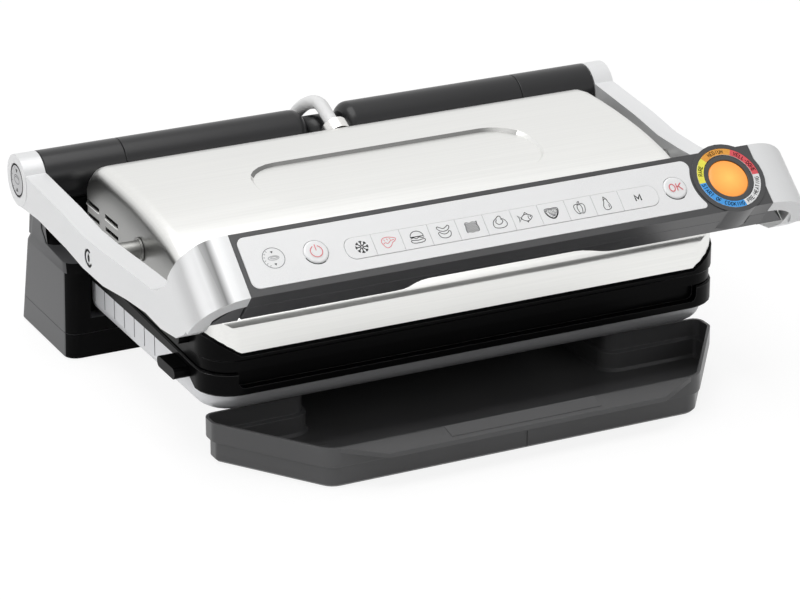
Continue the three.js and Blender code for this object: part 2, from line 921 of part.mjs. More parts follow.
// Top rim of the bowl: level along the sides, lower round the front corners and across the front
function bowlRim(x, y) {
  const along = THREE.MathUtils.clamp((y - rimStartY) / bowlFrontDip, 0, 1);
  return THREE.MathUtils.lerp(bowlFrontRimZ, bowlRimZ, along);
}

function bowlRing(inset, z) {
  return roundedRing(
    bowlHalfWidth - inset,
    bowlTopFrontY + inset,
    bodyRearY - inset,
    Math.max(bodyFrontRadius - inset, leastRadius),
    Math.max(bodyRearRadius - inset, leastRadius),
    z,
    rimStopY,
  );
}

// Height of the bowl's rounded foot over an inset of its outline
function bowlFoot(wall, step) {
  const angle = step / cornerSteps * Math.PI / 2;
  const inset = wall + (bowlFootRadius - wall) * (1 - Math.sin(angle));
  const rise = (bowlFootRise - wall) * (1 - Math.cos(angle));
  return bowlRing(inset, bowlFloorZ + wall + rise);
}

// Silver bowl: outer wall with a rounded foot, then the inside
function baseBowl() {
  const rings = [];
  for (let step = 0; step <= cornerSteps; step += 1) {
    rings.push(bowlFoot(0, step));
  }
  rings.push(bowlRing(0, bowlRim));
  rings.push(bowlRing(bowlWall, bowlRim));
  for (let step = cornerSteps; step >= 0; step -= 1) {
    rings.push(bowlFoot(bowlWall, step));
  }
  const grooves = [];
  for (let i = 0; i < grooveCount; i += 1) {
    const y = bodyFrontY + grooveInset + i * groovePitch;
    grooves.push(box(
      bowlHalfWidth - grooveDepth, bowlHalfWidth + overrun,
      y, y + grooveWidth,
      bowlFloorZ + bowlFootRise, bowlRimZ + overrun,
    ));
  }
  return cut(loft(rings), ...grooves, ...grooves.map(mirrored), lowerTabHole());
}

// Front and rear faces of the rear housing lean towards each other going up
function housingFrontAt(z) {
  return housingFrontY + frontLeanY * Math.max(0, 1 - z / shoulderZ);
}

function housingRearAt(z) {
  return rearY - rearLeanY * z / rearKneeZ;
}

function housingRing(inset, sideInset, frontAt, rearAt, z) {
  return roundedRing(
    housingHalfWidth - sideInset - inset,
    frontAt + inset,
    rearAt - inset,
    housingCorner - inset,
    housingCorner - inset,
    z,
  );
}

// Solid of the rear housing above its shoe, drawn in by an inset
function housingBlock(inset, lowZ) {
  const stepZ = shoulderZ + shoulderStepZ;
  const neckZ = deckFrontZ + deckStepZ;
  const ring = (side, front, rear, z) => housingRing(inset, side, front, rear, z);
  return loft([
    ring(0, housingFrontAt(lowZ), housingRearAt(lowZ), lowZ),
    ring(0, housingFrontY, housingRearAt(shoulderZ), shoulderZ - inset),
    ring(shoulderStepX, housingFrontY + shoulderStepY, housingRearAt(stepZ), stepZ - inset),
    ring(shoulderStepX, deckFrontY, housingRearAt(deckFrontZ), deckFrontZ - inset),
    ring(shoulderStepX, deckTopFrontY, housingRearAt(neckZ), neckZ - inset),
    ring(shoulderStepX, deckTopFrontY, deckTopRearY, deckTopZ - inset),
  ]);
}

// One tower of the rear housing, under its knuckle
function tower() {
  const outline = shapeOf([
    [deckFrontY + overrun, deckFrontZ - overrun],
    [housingRearAt(deckFrontZ) - slack, deckFrontZ - overrun],
    [housingRearAt(rearKneeZ) - slack, rearKneeZ],
    [hingeY + hubRadius, hingeZ - hubRadius / 4],
    [hingeY, hingeZ],
    [hingeY - hubRadius / 2, hingeZ - hubRadius],
    [deckTopFrontY - slack, towerNeckZ],
    [deckTopFrontY - slack, deckFrontZ + deckStepZ],
  ]);
  return sideExtrude(outline, towerInnerX, housingHalfWidth - shoulderStepX - slack);
}

// Bay that takes the rear of the bowl and of the lower housing
function housingBay(clearance) {
  return box(
    -bodyHalfWidth - clearance, bodyHalfWidth + clearance,
    housingFrontY - frontLeanY, bodyRearY + clearance,
    bowlFloorZ - clearance, hingeZ,
  );
}

function rearHousing() {
  const outer = join(housingBlock(0, shoeTopZ), tower(), mirrored(tower()));
  const cavity = cut(housingBlock(housingWall, shoeTopZ - overrun), housingBay(housingWall + bowlRimGap));
  const barBay = rod(hubRadius + gap, -hubOuterX, hubOuterX, hingeY, hingeZ);
  const sleeveHole = new THREE.CylinderGeometry(glandBore, glandBore, deckStepZ + overrun, smallSides)
    .rotateX(Math.PI / 2)
    .translate(sleeveHousingX, sleeveHousingY, deckTopZ);
  return cut(outer, cavity, housingBay(bowlRimGap), barBay, sleeveHole, inletRod(inletRadius + gap));
}

// Shoe that closes the rear housing from below
function rearShoe() {
  const top = shoeTopZ - gap;
  const block = loft([
    housingRing(0, 0, housingFrontAt(shoeFloat), housingRearAt(shoeFloat), shoeFloat),
    housingRing(0, 0, housingFrontAt(top), housingRearAt(top), top),
  ]);
  const floor = shoeFloor();
  const pocket = loft([
    housingRing(housingWall, 0, housingFrontAt(floor), housingRearAt(floor), floor),
    housingRing(housingWall, 0, housingFrontAt(top), housingRearAt(top), top + overrun),
  ]);
  return cut(block, pocket, padBox(-1, gap), padBox(1, gap));
}

// Height of the shoe's inner floor, above the pads
function shoeFloor() {
  return shoeFloat + padHeight + housingWall;
}

// Rubber pad under the shoe
function padBox(side, clearance) {
  const x = side * (housingHalfWidth - padSize);
  const y = (housingFrontY + rearY) / 2;
  const half = padSize / 2 + clearance;
  return box(x - half, x + half, y - half, y + half, -clearance, padHeight + clearance);
}

// Front foot under the bowl; the pair guides the tray between its inner faces
function frontFoot() {
  const inner = trayNeckHalf + gap;
  const foot = roundedShape(
    inner, inner + footWidth, footFrontY, footFrontY + footLength, footRound,
  );
  return extrude(foot, bowlFloorZ - gap);
}

// Turned piece about the hinge line from its radius and place along X
function turned(profile, y, z, sides = roundSides) {
  return new THREE.LatheGeometry(profile.map(([r, x]) => new THREE.Vector2(r, x)), sides)
    .rotateZ(-Math.PI / 2)
    .translate(0, y, z);
}

// Cover on the hinge line, bored for the shaft; its inner end can be rounded
function barCover(x0, x1, endRound) {
  const bore = shaftRadius + gap;
  const profile = [[bore, x0]];
  for (let step = 0; step <= cornerSteps && endRound > 0; step += 1) {
    const angle = step / cornerSteps * Math.PI / 2;
    profile.push([
      hubRadius - endRound + endRound * Math.sin(angle),
      x0 + endRound * (1 - Math.cos(angle)),
    ]);
  }
  if (endRound === 0) {
    profile.push([hubRadius, x0]);
  }
  profile.push([hubRadius, x1], [bore, x1], [bore, x0]);
  return turned(profile, hingeY, hingeZ);
}

// Point of the panel's end faces: up its slope and out of its face, as depth and height
function panelPoint(s, n) {
  return [
    panelFootY + s * Math.cos(panelTilt) - n * Math.sin(panelTilt),
    panelFootZ + s * Math.sin(panelTilt) + n * Math.cos(panelTilt),
  ];
}

// Point of an arm's outline from its shares
function armPoint([yShare, zShare]) {
  return [
    THREE.MathUtils.lerp(panelFootY, hingeY, yShare),
    hingeZ - armDrop * (1 - zShare),
  ];
}

// Side outline of an arm with its front block
function armShape() {
  return shapeOf([
    panelPoint(0, 0),
    panelPoint(0, -armChin),
    ...armUnderShares.map(armPoint),
    [hingeY, hingeZ - hubRadius + slack],
    [hingeY, hingeZ + hubRadius / 2],
    ...armOverShares.map(armPoint),
    panelPoint(armCrestS, -armCrestDepth),
    panelPoint(armCrestS, 0),
  ]);
}

// Extrusion up the panel's slope of an outline in x and n, in the panel's own frame
function slopeExtrude(shape, s0, s1) {
  return extrude(shape, s1 - s0).rotateX(Math.PI / 2).translate(0, s1, 0);
}

// Bent plate that wraps from the arm's outer face round to the panel
function armCap() {
  const bendX = armFrontX - capBend;
  const shape = new THREE.Shape();
  shape.moveTo(panelHalfWidth, 0);
  shape.lineTo(bendX, 0);
  shape.absarc(bendX, -capBend, capBend, Math.PI / 2, 0, true);
  shape.lineTo(armFrontX - capFace, -capBend);
  shape.absarc(bendX, -capBend, capBend - capFace, 0, Math.PI / 2);
  shape.lineTo(panelHalfWidth, -capFace);
  const bent = slopeExtrude(shape, -capDropS, panelHeight);
  const outline = new THREE.Shape();
  outline.moveTo(panelHalfWidth - overrun, 0);
  outline.lineTo(panelHalfWidth, 0);
  outline.lineTo(armFrontX, -capDropS);
  outline.lineTo(armFrontX, armCrestS);
  outline.quadraticCurveTo(armFrontX, panelHeight, panelHalfWidth, panelHeight);
  outline.lineTo(panelHalfWidth - overrun, panelHeight);
  const trim = extrude(outline, 2 * panelHeight).translate(0, 0, -panelHeight);
  return common(bent, trim).applyMatrix4(panelPlace);
}

// Everything behind the bent face of the cap
function capEnvelope() {
  const bendX = armFrontX - capBend;
  const shape = new THREE.Shape();
  shape.moveTo(0, 0);
  shape.lineTo(bendX, 0);
  shape.absarc(bendX, -capBend, capBend, Math.PI / 2, 0, true);
  shape.lineTo(armFrontX, -overallDepth);
  shape.lineTo(0, -overallDepth);
  return slopeExtrude(shape, -overallDepth, overallDepth).applyMatrix4(panelPlace);
}

// The arms stand further apart at the hinge than at the panel
function spreadAt(y) {
  return (hubOuterX - armFrontX) * Math.max(0, y - armFlareFromY) / (hingeY - armFlareFromY);
}

function flare(geometry) {
  const places = geometry.attributes.position;
  for (let i = 0; i < places.count; i += 1) {
    places.setX(i, places.getX(i) + spreadAt(places.getY(i)));
  }
  return geometry;
}

// Outer face of the arm at the lid pivot
const pivotOuterX = armFrontX + spreadAt(pivotY);

function arm() {
  const plate = sideExtrude(armShape(), armFrontX - armThick, armFrontX);
  const flared = flare(join(common(plate, capEnvelope()), armCap()));
  const hub = rod(hubRadius, hubInnerX, hubOuterX, hingeY, hingeZ);
  const socket = rod(
    shaftRadius + gap, hubInnerX - armThick, hubInnerX + shaftSocketDepth, hingeY, hingeZ,
  );
  const badge = rod(badgeRadius + gap, hubOuterX - badgeDepth - gap, hubOuterX + overrun, hingeY, hingeZ);
  const innerX = armFrontX - armThick - overrun;
  const pivot = rod(pivotBoreRadius, innerX, hubOuterX, pivotY, pivotZ, smallSides);
  const headX = pivotOuterX - screwHeadDepth - gap;
  const head = rod(screwHeadRadius + gap, headX, hubOuterX + overrun, pivotY, pivotZ, smallSides);
  return cut(join(flared, hub), socket, badge, pivot, head);
}

function rightArm() {
  const dial = stud(dialRadius + gap, dialX, dialS, -panelDepth - overrun, overrun);
  return cut(arm(), dial.applyMatrix4(panelPlace));
}

// Dark liner that fills the inside of a cap, in the panel's own frame
function armLiner() {
  const x0 = panelHalfWidth + gap;
  const x1 = armFrontX - armThick - gap;
  const shape = shapeOf([
    [x0, -capFace - gap],
    [armFrontX - capBend, -capFace - gap],
    [x1, -capBend],
    [x0, -capBend],
  ]);
  return slopeExtrude(shape, linerInset, armCrestS - linerInset);
}

function rightArmLiner() {
  return cut(armLiner(), stud(dialRadius + gap, dialX, dialS, -panelDepth - overrun, overrun));
}

// Rounded tip of the fascia beside the dial: its centre, and the bearing of the dial from there
function fasciaTip(radius, s) {
  const x = dialX - Math.sqrt((dialRadius + dialMargin + radius) ** 2 - (s - dialS) ** 2);
  return { x, s, bearing: Math.atan2(dialS - s, dialX - x) };
}

// Fascia outline: rounded at the left, at the right hollowed round the dial between two tips
function fasciaPlate(grow, n0, n1) {
  const corner = fasciaRadius + grow;
  const x0 = fasciaLeftX - grow;
  const low = fasciaLowS - grow;
  const high = fasciaHighS + grow;
  const hollow = dialRadius + dialMargin - grow;
  const under = fasciaTip(fasciaTipLowRadius, fasciaLowS + fasciaTipLowRadius);
  const over = fasciaTip(fasciaTipHighRadius, fasciaHighS - fasciaTipHighRadius);
  const shape = new THREE.Shape();
  shape.moveTo(x0 + corner, low);
  shape.lineTo(under.x, low);
  shape.absarc(under.x, under.s, fasciaTipLowRadius + grow, -Math.PI / 2, under.bearing);
  shape.absarc(dialX, dialS, hollow, under.bearing + Math.PI, over.bearing + Math.PI, true);
  shape.absarc(over.x, over.s, fasciaTipHighRadius + grow, over.bearing, Math.PI / 2);
  shape.lineTo(x0 + corner, high);
  shape.absarc(x0 + corner, high - corner, corner, Math.PI / 2, Math.PI);
  shape.lineTo(x0, low + corner);
  shape.absarc(x0 + corner, low + corner, corner, Math.PI, 1.5 * Math.PI);
  return extrude(shape, n1 - n0).translate(0, 0, n0);
}

function stripBlock(grow, n0, n1) {
  const x0 = stripLeftX - grow;
  const x1 = stripRightX + grow;
  const shape = roundedShape(x0, x1, stripLowS - grow, stripHighS + grow, stripRound + grow);
  return extrude(shape, n1 - n0).translate(0, 0, n0);
}

// Dark frame of the panel with the round housing of the dial
function panelFrame() {
  const body = box(-panelHalfWidth + gap, panelHalfWidth - gap, 0, panelHeight, -panelFrontDepth, 0);
  const dial = stud(dialRadius, dialX, dialS, -panelDepth, dialRise);
  const cavity = box(
    -panelHalfWidth + gap + panelWall, dialX - dialRadius,
    panelWall, panelHeight - panelWall,
    -panelFrontDepth - overrun, -fasciaThick - panelWall,
  );
  const recess = fasciaPlate(gap, -fasciaThick - gap, overrun);
  const opening = fasciaPlate(-fasciaLedge, -panelFrontDepth, overrun);
  const colourPocket = stud(colourOuter + gap, dialX, dialS, dialRise - colourThick - gap, overrun);
  const well = stud(colourInner + gap, dialX, dialS, -panelFrontDepth, overrun);
  return cut(join(body, dial), cavity, recess, opening, colourPocket, well);
}

function fascia() {
  const plate = fasciaPlate(0, -fasciaThick, 0);
  const strip = stripBlock(gap, -panelDepth, overrun);
  const power = stud(buttonRadius + gap, buttonX, buttonS, -panelDepth, overrun);
  const ok = stud(buttonRadius + gap, okX, buttonS, -panelDepth, overrun);
  return cut(plate, strip, power, ok);
}

// Outline of the finger recess across the panel's back: deep in the middle, curving out at both ends
function gripShape() {
  const outer = gripHalfWidth + gripFlare;
  const middle = gripHalfWidth + gripFlare / 2;
  const shape = new THREE.Shape();
  shape.moveTo(-outer, -overrun);
  shape.lineTo(outer, -overrun);
  shape.lineTo(outer, 0);
  shape.bezierCurveTo(middle, 0, middle, gripS, gripHalfWidth, gripS);
  shape.lineTo(-gripHalfWidth, gripS);
  shape.bezierCurveTo(-middle, gripS, -middle, 0, -outer, 0);
  return shape;
}

// Back cover of the panel: a deep chin for the fingers, hollowed in the middle
function panelBack() {
  const front = -panelFrontDepth - gap;
  const section = shapeOf([
    [0, front],
    [0, -backChinDepth],
    [backChinS, -backDepth],
    [backHeelS, -backDepth],
    [panelHeight, -backTopDepth],
    [panelHeight, front],
  ]);
  const cover = sideExtrude(section, -panelHalfWidth + gap, panelHalfWidth - gap);
  const recess = extrude(gripShape(), backDepth).translate(0, 0, front - panelWall - backDepth);
  return cut(cover, recess, stud(dialRadius + gap, dialX, dialS, -panelDepth - gap, overrun));
}

function controlBoard() {
  const n1 = -panelFrontDepth + boardThick;
  return box(
    -panelHalfWidth + gap + panelWall + gap, dialX - dialRadius - gap - panelWall,
    panelWall + gap, panelHeight - panelWall - gap,
    n1 - boardThick, n1,
  );
}

// Top of a key's travel below its cap, just over the board
function keyFootN() {
  return -panelFrontDepth + boardThick + keyClearance;
}

// Round button with a soft domed top
function roundButton(x) {
  const low = keyFootN();
  const profile = [
    [0, low],
    [buttonRadius, low],
    [buttonRadius, 0],
    [buttonRadius - buttonRise, buttonRise],
    [0, buttonRise + gap],
  ];
  return new THREE.LatheGeometry(profile.map(([r, n]) => new THREE.Vector2(r, n)), roundSides)
    .rotateX(Math.PI / 2)
    .translate(x, buttonS, 0);
}

// One key of the programme strip
function programKey(index) {
  const edge = stripLeftX + index * keyPitch;
  const left = index === 0 ? stripLeftX - overrun : edge + gap / 2;
  const right = index === keyCount - 1 ? stripRightX + overrun : edge + keyPitch - gap / 2;
  const cell = box(left, right, stripLowS - overrun, stripHighS + overrun, keyFootN(), keyRise);
  return common(cell, stripBlock(0, keyFootN() - overrun, overrun));
}

function annulus(inner, outer, n0, n1, innerN1 = n1) {
  const profile = [[inner, n0], [outer, n0], [outer, n1], [inner, innerN1], [inner, n0]];
  return new THREE.LatheGeometry(profile.map(([r, n]) => new THREE.Vector2(r, n)), roundSides)
    .rotateX(Math.PI / 2)
    .translate(dialX, dialS, 0);
}

function lens() {
  const base = -lensSeat;
  const profile = [[0, -panelFrontDepth + gap], [lensRadius, -panelFrontDepth + gap], [lensRadius, base]];
  for (let step = 1; step < cornerSteps; step += 1) {
    const angle = step / cornerSteps * Math.PI / 2;
    profile.push([lensRadius * Math.cos(angle), base + lensRise * Math.sin(angle)]);
  }
  profile.push([0, base + lensRise]);
  return new THREE.LatheGeometry(profile.map(([r, n]) => new THREE.Vector2(r, n)), roundSides)
    .rotateX(Math.PI / 2)
    .translate(dialX, dialS, 0);
}

// Pivot pin: spigot in the lid, washer and collar between lid and arm, journal in the arm
function pivotPin() {
  const inner = bodyHalfWidth - shellInset - shellWall - overrun;
  const lidFace = bodyHalfWidth - shellInset + gap;
  const armFace = pivotOuterX - armThick - gap - pivotSideGap;
  const outer = pivotOuterX - screwHeadDepth - gap - pivotSideGap;
  return turned([
    [0, inner],
    [pivotSpigotRadius, inner],
    [pivotSpigotRadius, lidFace],
    [pivotWasherRadius, lidFace],
    [pivotWasherRadius, lidFace + pivotWasherThick],
    [pivotCollarRadius, lidFace + pivotWasherThick],
    [pivotCollarRadius, armFace],
    [pivotBoreRadius - gap, armFace],
    [pivotBoreRadius - gap, outer],
    [0, outer],
  ], pivotY, pivotZ, smallSides);
}

function pivotScrew() {
  const outer = pivotOuterX - gap;
  const inner = pivotOuterX - screwHeadDepth + gap / 2;
  const head = rod(screwHeadRadius, inner, outer, pivotY, pivotZ, smallSides);
  const slot = box(
    outer - screwSlotWidth, outer + overrun,
    pivotY - screwSlotWidth / 2, pivotY + screwSlotWidth / 2,
    pivotZ - screwHeadRadius, pivotZ + screwHeadRadius,
  );
  return cut(head, slot);
}

// Tab outline in depth and height, between two places across the grill
function tabBlock(z, height, x0, x1, grow) {
  const shape = roundedShape(
    tabFrontY - grow, tabFrontY + tabLength + grow, z - grow, z + height + grow, tabRound + grow,
  );
  return sideExtrude(shape, x0, x1);
}

// Where the springs of the tabs stand
function lowerTabSeatX() {
  return -bowlHalfWidth + tabInside + tabTravel + gap;
}

function upperTabSeatX() {
  return -bodyHalfWidth + tabInside + tabTravel + gap;
}

function lowerTabHole() {
  return tabBlock(lowerTabZ, tabHeight, -bodyHalfWidth - overrun, lowerTabSeatX(), gap);
}

function upperTabHole() {
  return tabBlock(upperTabZ, upperTabHeight, -bodyHalfWidth - overrun, upperTabSeatX(), gap);
}

// Release tab with a bore for its spring
function releaseTab(z, height, outX, seatX) {
  const inner = seatX - tabTravel - gap;
  const tab = tabBlock(z, height, outX, inner, 0);
  const y = tabFrontY + tabLength / 2;
  const middle = z + height / 2;
  return cut(tab, rod(springRadius + gap, inner - springBore, inner + overrun, y, middle, smallSides));
}

function lowerTab() {
  return releaseTab(lowerTabZ, tabHeight, -bowlHalfWidth - lowerTabOut, lowerTabSeatX());
}

function upperTab() {
  return releaseTab(upperTabZ, upperTabHeight, -bodyHalfWidth - upperTabOut, upperTabSeatX());
}

// Spring of a tab, drawn as a tube at its pressed length
function releaseSpring(z, seatX) {
  const x0 = seatX - springBore;
  const x1 = seatX - gap;
  return turned([
    [springRadius - springWire, x0],
    [springRadius, x0],
    [springRadius, x1],
    [springRadius - springWire, x1],
    [springRadius - springWire, x0],
  ], tabFrontY + tabLength / 2, z, smallSides);
}

// Tray outline seen from above, grown or drawn in by an offset
function trayOutline(grow) {
  const corners = [
    [-trayFrontHalf, trayFrontY, trayCorner],
    [trayFrontHalf, trayFrontY, trayCorner],
    [trayWideHalf, traySideFrontY, trayEndCorner],
    [trayWideHalf, trayWideRearY, trayEndCorner],
    [trayNeckHalf, trayWideRearY, -trayNeckCorner],
    [trayNeckHalf, trayRearY, trayNeckCorner],
    [-trayNeckHalf, trayRearY, trayNeckCorner],
    [-trayNeckHalf, trayWideRearY, -trayNeckCorner],
    [-trayWideHalf, trayWideRearY, trayEndCorner],
    [-trayWideHalf, traySideFrontY, trayEndCorner],
  ];
  const count = corners.length;
  const points = [];
  for (let i = 0; i < count; i += 1) {
    const here = new THREE.Vector2(corners[i][0], corners[i][1]);
    const before = new THREE.Vector2(...corners[(i + count - 1) % count]);
    const after = new THREE.Vector2(...corners[(i + 1) % count]);
    const inward = here.clone().sub(before).normalize();
    const onward = after.clone().sub(here).normalize();
    const normalIn = new THREE.Vector2(inward.y, -inward.x);
    const normalOut = new THREE.Vector2(onward.y, -onward.x);
    const turn = Math.atan2(inward.cross(onward), inward.dot(onward));
    const radius = Math.abs(corners[i][2]);
    const reach = radius * Math.tan(Math.abs(turn) / 2);
    const start = here.clone().addScaledVector(inward, -reach);
    const centre = start.clone().addScaledVector(normalIn, -Math.sign(turn) * radius);
    const size = radius + Math.sign(turn) * grow;
    for (let step = 0; step <= trayCornerSteps; step += 1) {
      const angle = turn * step / trayCornerSteps;
      const ray = normalIn.clone().rotateAround(new THREE.Vector2(0, 0), angle);
      points.push(centre.clone().addScaledVector(ray, Math.sign(turn) * size));
    }
  }
  return points;
}

function trayRing(grow, z) {
  return trayOutline(grow).map((p) => new THREE.Vector3(p.x, p.y, z));
}

// Drip tray: stepped wall, floor and a flared lip in front
function dripTray() {
  const low = -trayBandStep;
  const basin = loft([
    trayRing(low - trayFloorRound, trayFloat),
    trayRing(low, trayFloat + trayFloorRound),
    trayRing(low, trayBandZ - trayBandStep / 2),
    trayRing(0, trayBandZ),
    trayRing(0, trayRimZ),
    trayRing(-trayWall, trayRimZ),
    trayRing(-trayWall, trayBandZ + trayBandStep / 2),
    trayRing(low - trayWall, trayBandZ),
    trayRing(low - trayWall, trayFloat + trayWall + trayFloorRound),
    trayRing(low - trayWall - trayFloorRound, trayFloat + trayWall),
  ]);
  const wallY = trayFrontY + trayWall;
  const frontHalf = lipHalfWidth - lipTaper;
  const plan = extrude(shapeOf([
    [-lipHalfWidth, wallY],
    [-lipHalfWidth, trayFrontY],
    [-frontHalf, lipFrontY],
    [frontHalf, lipFrontY],
    [lipHalfWidth, trayFrontY],
    [lipHalfWidth, wallY],
  ]), trayRimZ);
  const lip = common(lipBlock(lipHalfWidth, 0, lipThick, lipFrontY - overrun, wallY), plan);
  const beadY = lipFrontY + lipBeadInset;
  const bead = lipBlock(lipBeadHalf, lipBeadRise, lipThick, beadY, beadY + lipBeadWidth);
  const mark = box(
    trayMarkX - trayMarkWidth / 2, trayMarkX + trayMarkWidth / 2,
    trayFrontY, trayFrontY + trayBandStep + trayMarkDepth,
    -overrun, trayBandZ - trayBandStep,
  );
  return cut(join(basin, lip, bead), mark);
}

// Part of the lip's falling plate, between two depths
function lipBlock(half, above, below, y0, y1) {
  const heightAt = (y) => trayRimZ - lipDrop * Math.max(0, trayFrontY - y) / lipReach;
  return sideExtrude(shapeOf([
    [y0, heightAt(y0) - below],
    [trayFrontY, trayRimZ - below],
    [Math.max(y1, trayFrontY + gap), trayRimZ - below],
    [Math.max(y1, trayFrontY + gap), trayRimZ + above],
    [trayFrontY, trayRimZ + above],
    [y0, heightAt(y0) + above],
  ]), -half, half);
}

// Point on the gland's axis, at a distance above its foot
function glandPoint(along) {
  return new THREE.Vector3(
    glandX,
    glandY + along * Math.sin(glandTilt),
    glandZ + along * Math.cos(glandTilt),
  );
}

// Centre line of the wiring sleeve, from the rear deck over the bar down to the lid
function sleevePath() {
  const x = sleeveHousingX;
  const y = sleeveHousingY;
  const crestZ = hingeZ + hubRadius;
  return new THREE.CatmullRomCurve3([
    new THREE.Vector3(x, y, deckTopZ - housingWall),
    new THREE.Vector3(x, y, deckTopZ + sleeveRadius),
    new THREE.Vector3(x, y, hingeZ),
    new THREE.Vector3((x + glandX) / 2, hingeY + hubRadius / 2, crestZ),
    new THREE.Vector3(glandX, hingeY - sleeveRadius, crestZ + sleeveRadius),
    glandPoint(glandHeight + 2 * sleeveRadius),
    glandPoint(glandHeight),
    glandPoint(-glandHeight),
  ]);
}

function sleeve() {
  const section = new THREE.Shape();
  section.absarc(0, 0, sleeveRadius, 0, 2 * Math.PI);
  return new THREE.ExtrudeGeometry(section, {
    steps: sleeveSteps,
    extrudePath: sleevePath(),
    bevelEnabled: false,
    curveSegments: sleeveSides,
  });
}

// Soft gland where the sleeve enters the lid, domed round its bore
function sleeveGland() {
  const profile = [[glandBore, -glandFoot], [glandRadius, -glandFoot]];
  for (let step = 0; step <= cornerSteps; step += 1) {
    const angle = step / cornerSteps * Math.PI / 2;
    profile.push([
      glandBore + gap + (glandRadius - glandBore - gap) * Math.cos(angle),
      glandHeight * (1 + Math.sin(angle)) / 2,
    ]);
  }
  profile.push([glandBore, glandHeight], [glandBore, -glandFoot]);
  return new THREE.LatheGeometry(profile.map(([r, h]) => new THREE.Vector2(r, h)), smallSides)
    .rotateX(Math.PI / 2 - glandTilt)
    .translate(glandX, glandY, glandZ);
}

// Sets a piece that is turned about its own Y axis square to the leaning rear wall
function atInlet(geometry) {
  return geometry
    .rotateX(Math.atan2(rearLeanY, rearKneeZ))
    .translate(inletX, housingRearAt(inletZ), inletZ);
}

function inletRod(radius) {
  const length = inletInside + overrun;
  return atInlet(
    new THREE.CylinderGeometry(radius, radius, length, smallSides).translate(0, overrun - length / 2, 0),
  );
}

// Flanged bush in the rear wall where the mains lead goes in
function cordInlet() {
  const profile = [
    [inletBore, -inletInside],
    [inletRadius, -inletInside],
    [inletRadius, gap],
    [inletFlange, gap],
    [inletFlange, gap + inletFlangeThick],
    [inletBore, gap + inletFlangeThick],
    [inletBore, -inletInside],
  ];
  return atInlet(
    new THREE.LatheGeometry(profile.map(([r, h]) => new THREE.Vector2(r, h)), smallSides),
  );
}

// Mains board with its blocks, lying on the shoe
function powerBoard() {
  const z0 = shoeFloor() + gap;
  const top = z0 + boardThick;
  const y0 = housingFrontAt(0) + housingWall + slack;
  const y1 = housingRearAt(top) - housingWall - slack;
  const width = 2 * mainsHalfWidth;
  const board = box(-mainsHalfWidth, mainsHalfWidth, y0, y1, z0, top);
  const blocks = mainsBlockShares.map(([left, front, across, deep, high]) => {
    const x = -mainsHalfWidth + left * width;
    const y = y0 + front * (y1 - y0);
    const rear = y + deep * (y1 - y0);
    return box(x, x + across * width, y, rear, top - boardThick / 2, top + high * mainsHeight);
  });
  return join(board, ...blocks);
}

// Base
place('base_bowl', baseBowl(), silver());
place('plate_surround', plateSurround(), black());
place('rear_housing', rearHousing(), graphite());
place('rear_shoe', rearShoe(), graphite());
place('power_board', powerBoard(), boardGreen());
place('cord_inlet', cordInlet(), black());
place('front_foot_right', frontFoot(), rubber());
place('front_foot_left', mirrored(frontFoot()), rubber());
place('rear_pad_right', padBox(1, 0), rubber());
place('rear_pad_left', padBox(-1, 0), rubber());
const knuckle = barCover(knuckleInnerX, hubInnerX - slack, 0);
place('knuckle_cover_right', knuckle, satinBlack());
place('knuckle_cover_left', mirrored(knuckle), satinBlack());
place('drip_tray', dripTray(), graphite());
place('lower_release_button', lowerTab(), black());
place('lower_release_spring', releaseSpring(lowerTabZ + tabHeight / 2, lowerTabSeatX()), plated());

// Plates with their heating rods and pans lie along the sloping seam
function heatingStack(side) {
  const stack = new THREE.Group();
  stack.position.set(0, bodyFrontY, seamFrontZ + side * plateGap / 2);
  stack.rotation.x = seamAngle;
  stack.scale.z = -side;
  grill.add(stack);
  const level = side > 0 ? 'upper' : 'lower';
  const back = -ribHeight - plateSkin;
  place(`${level}_plate`, side > 0 ? upperPlate() : lowerPlate(), coating(), stack);
  place(`${level}_heater`, heaterRod().translate(0, 0, back - gap - heaterRadius), plated(), stack);
  place(`${level}_reflector`, reflector().translate(0, 0, back - gap), plated(), stack);
}

heatingStack(-1);
heatingStack(1);

// Lid
place('lid_shell', lidShell(), steel());
place('lid_skirt', lidSkirt(), black());
place('pivot_pin_right', pivotPin(), plated());
place('pivot_pin_left', mirrored(pivotPin()), plated());
place('pivot_screw_right', pivotScrew(), plated());
place('pivot_screw_left', mirrored(pivotScrew()), plated());
place('sleeve_gland', sleeveGland(), plated());
place('upper_release_button', upperTab(), black());
place('upper_release_spring', releaseSpring(upperTabZ + upperTabHeight / 2, upperTabSeatX()), plated());
place('wiring_sleeve', sleeve(), paleSleeve());

// Handle: arms, bar covers, shaft and badges
const inner = barCover(coverInnerX, knuckleInnerX - gap, coverEndRound);
const shaftHalf = hubInnerX + shaftSocketDepth - gap;
const badge = rod(badgeRadius, hubOuterX - badgeDepth, hubOuterX, hingeY, hingeZ);
place('arm_right', rightArm(), paleSilver());
place('arm_left', mirrored(arm()), paleSilver());
place('bar_cover_right', inner, satinBlack());
place('bar_cover_left', mirrored(inner), satinBlack());
place('hinge_shaft', rod(shaftRadius, -shaftHalf, shaftHalf, hingeY, hingeZ), plated());
place('hub_badge_right', badge, graphite());
place('hub_badge_left', mirrored(badge), graphite());

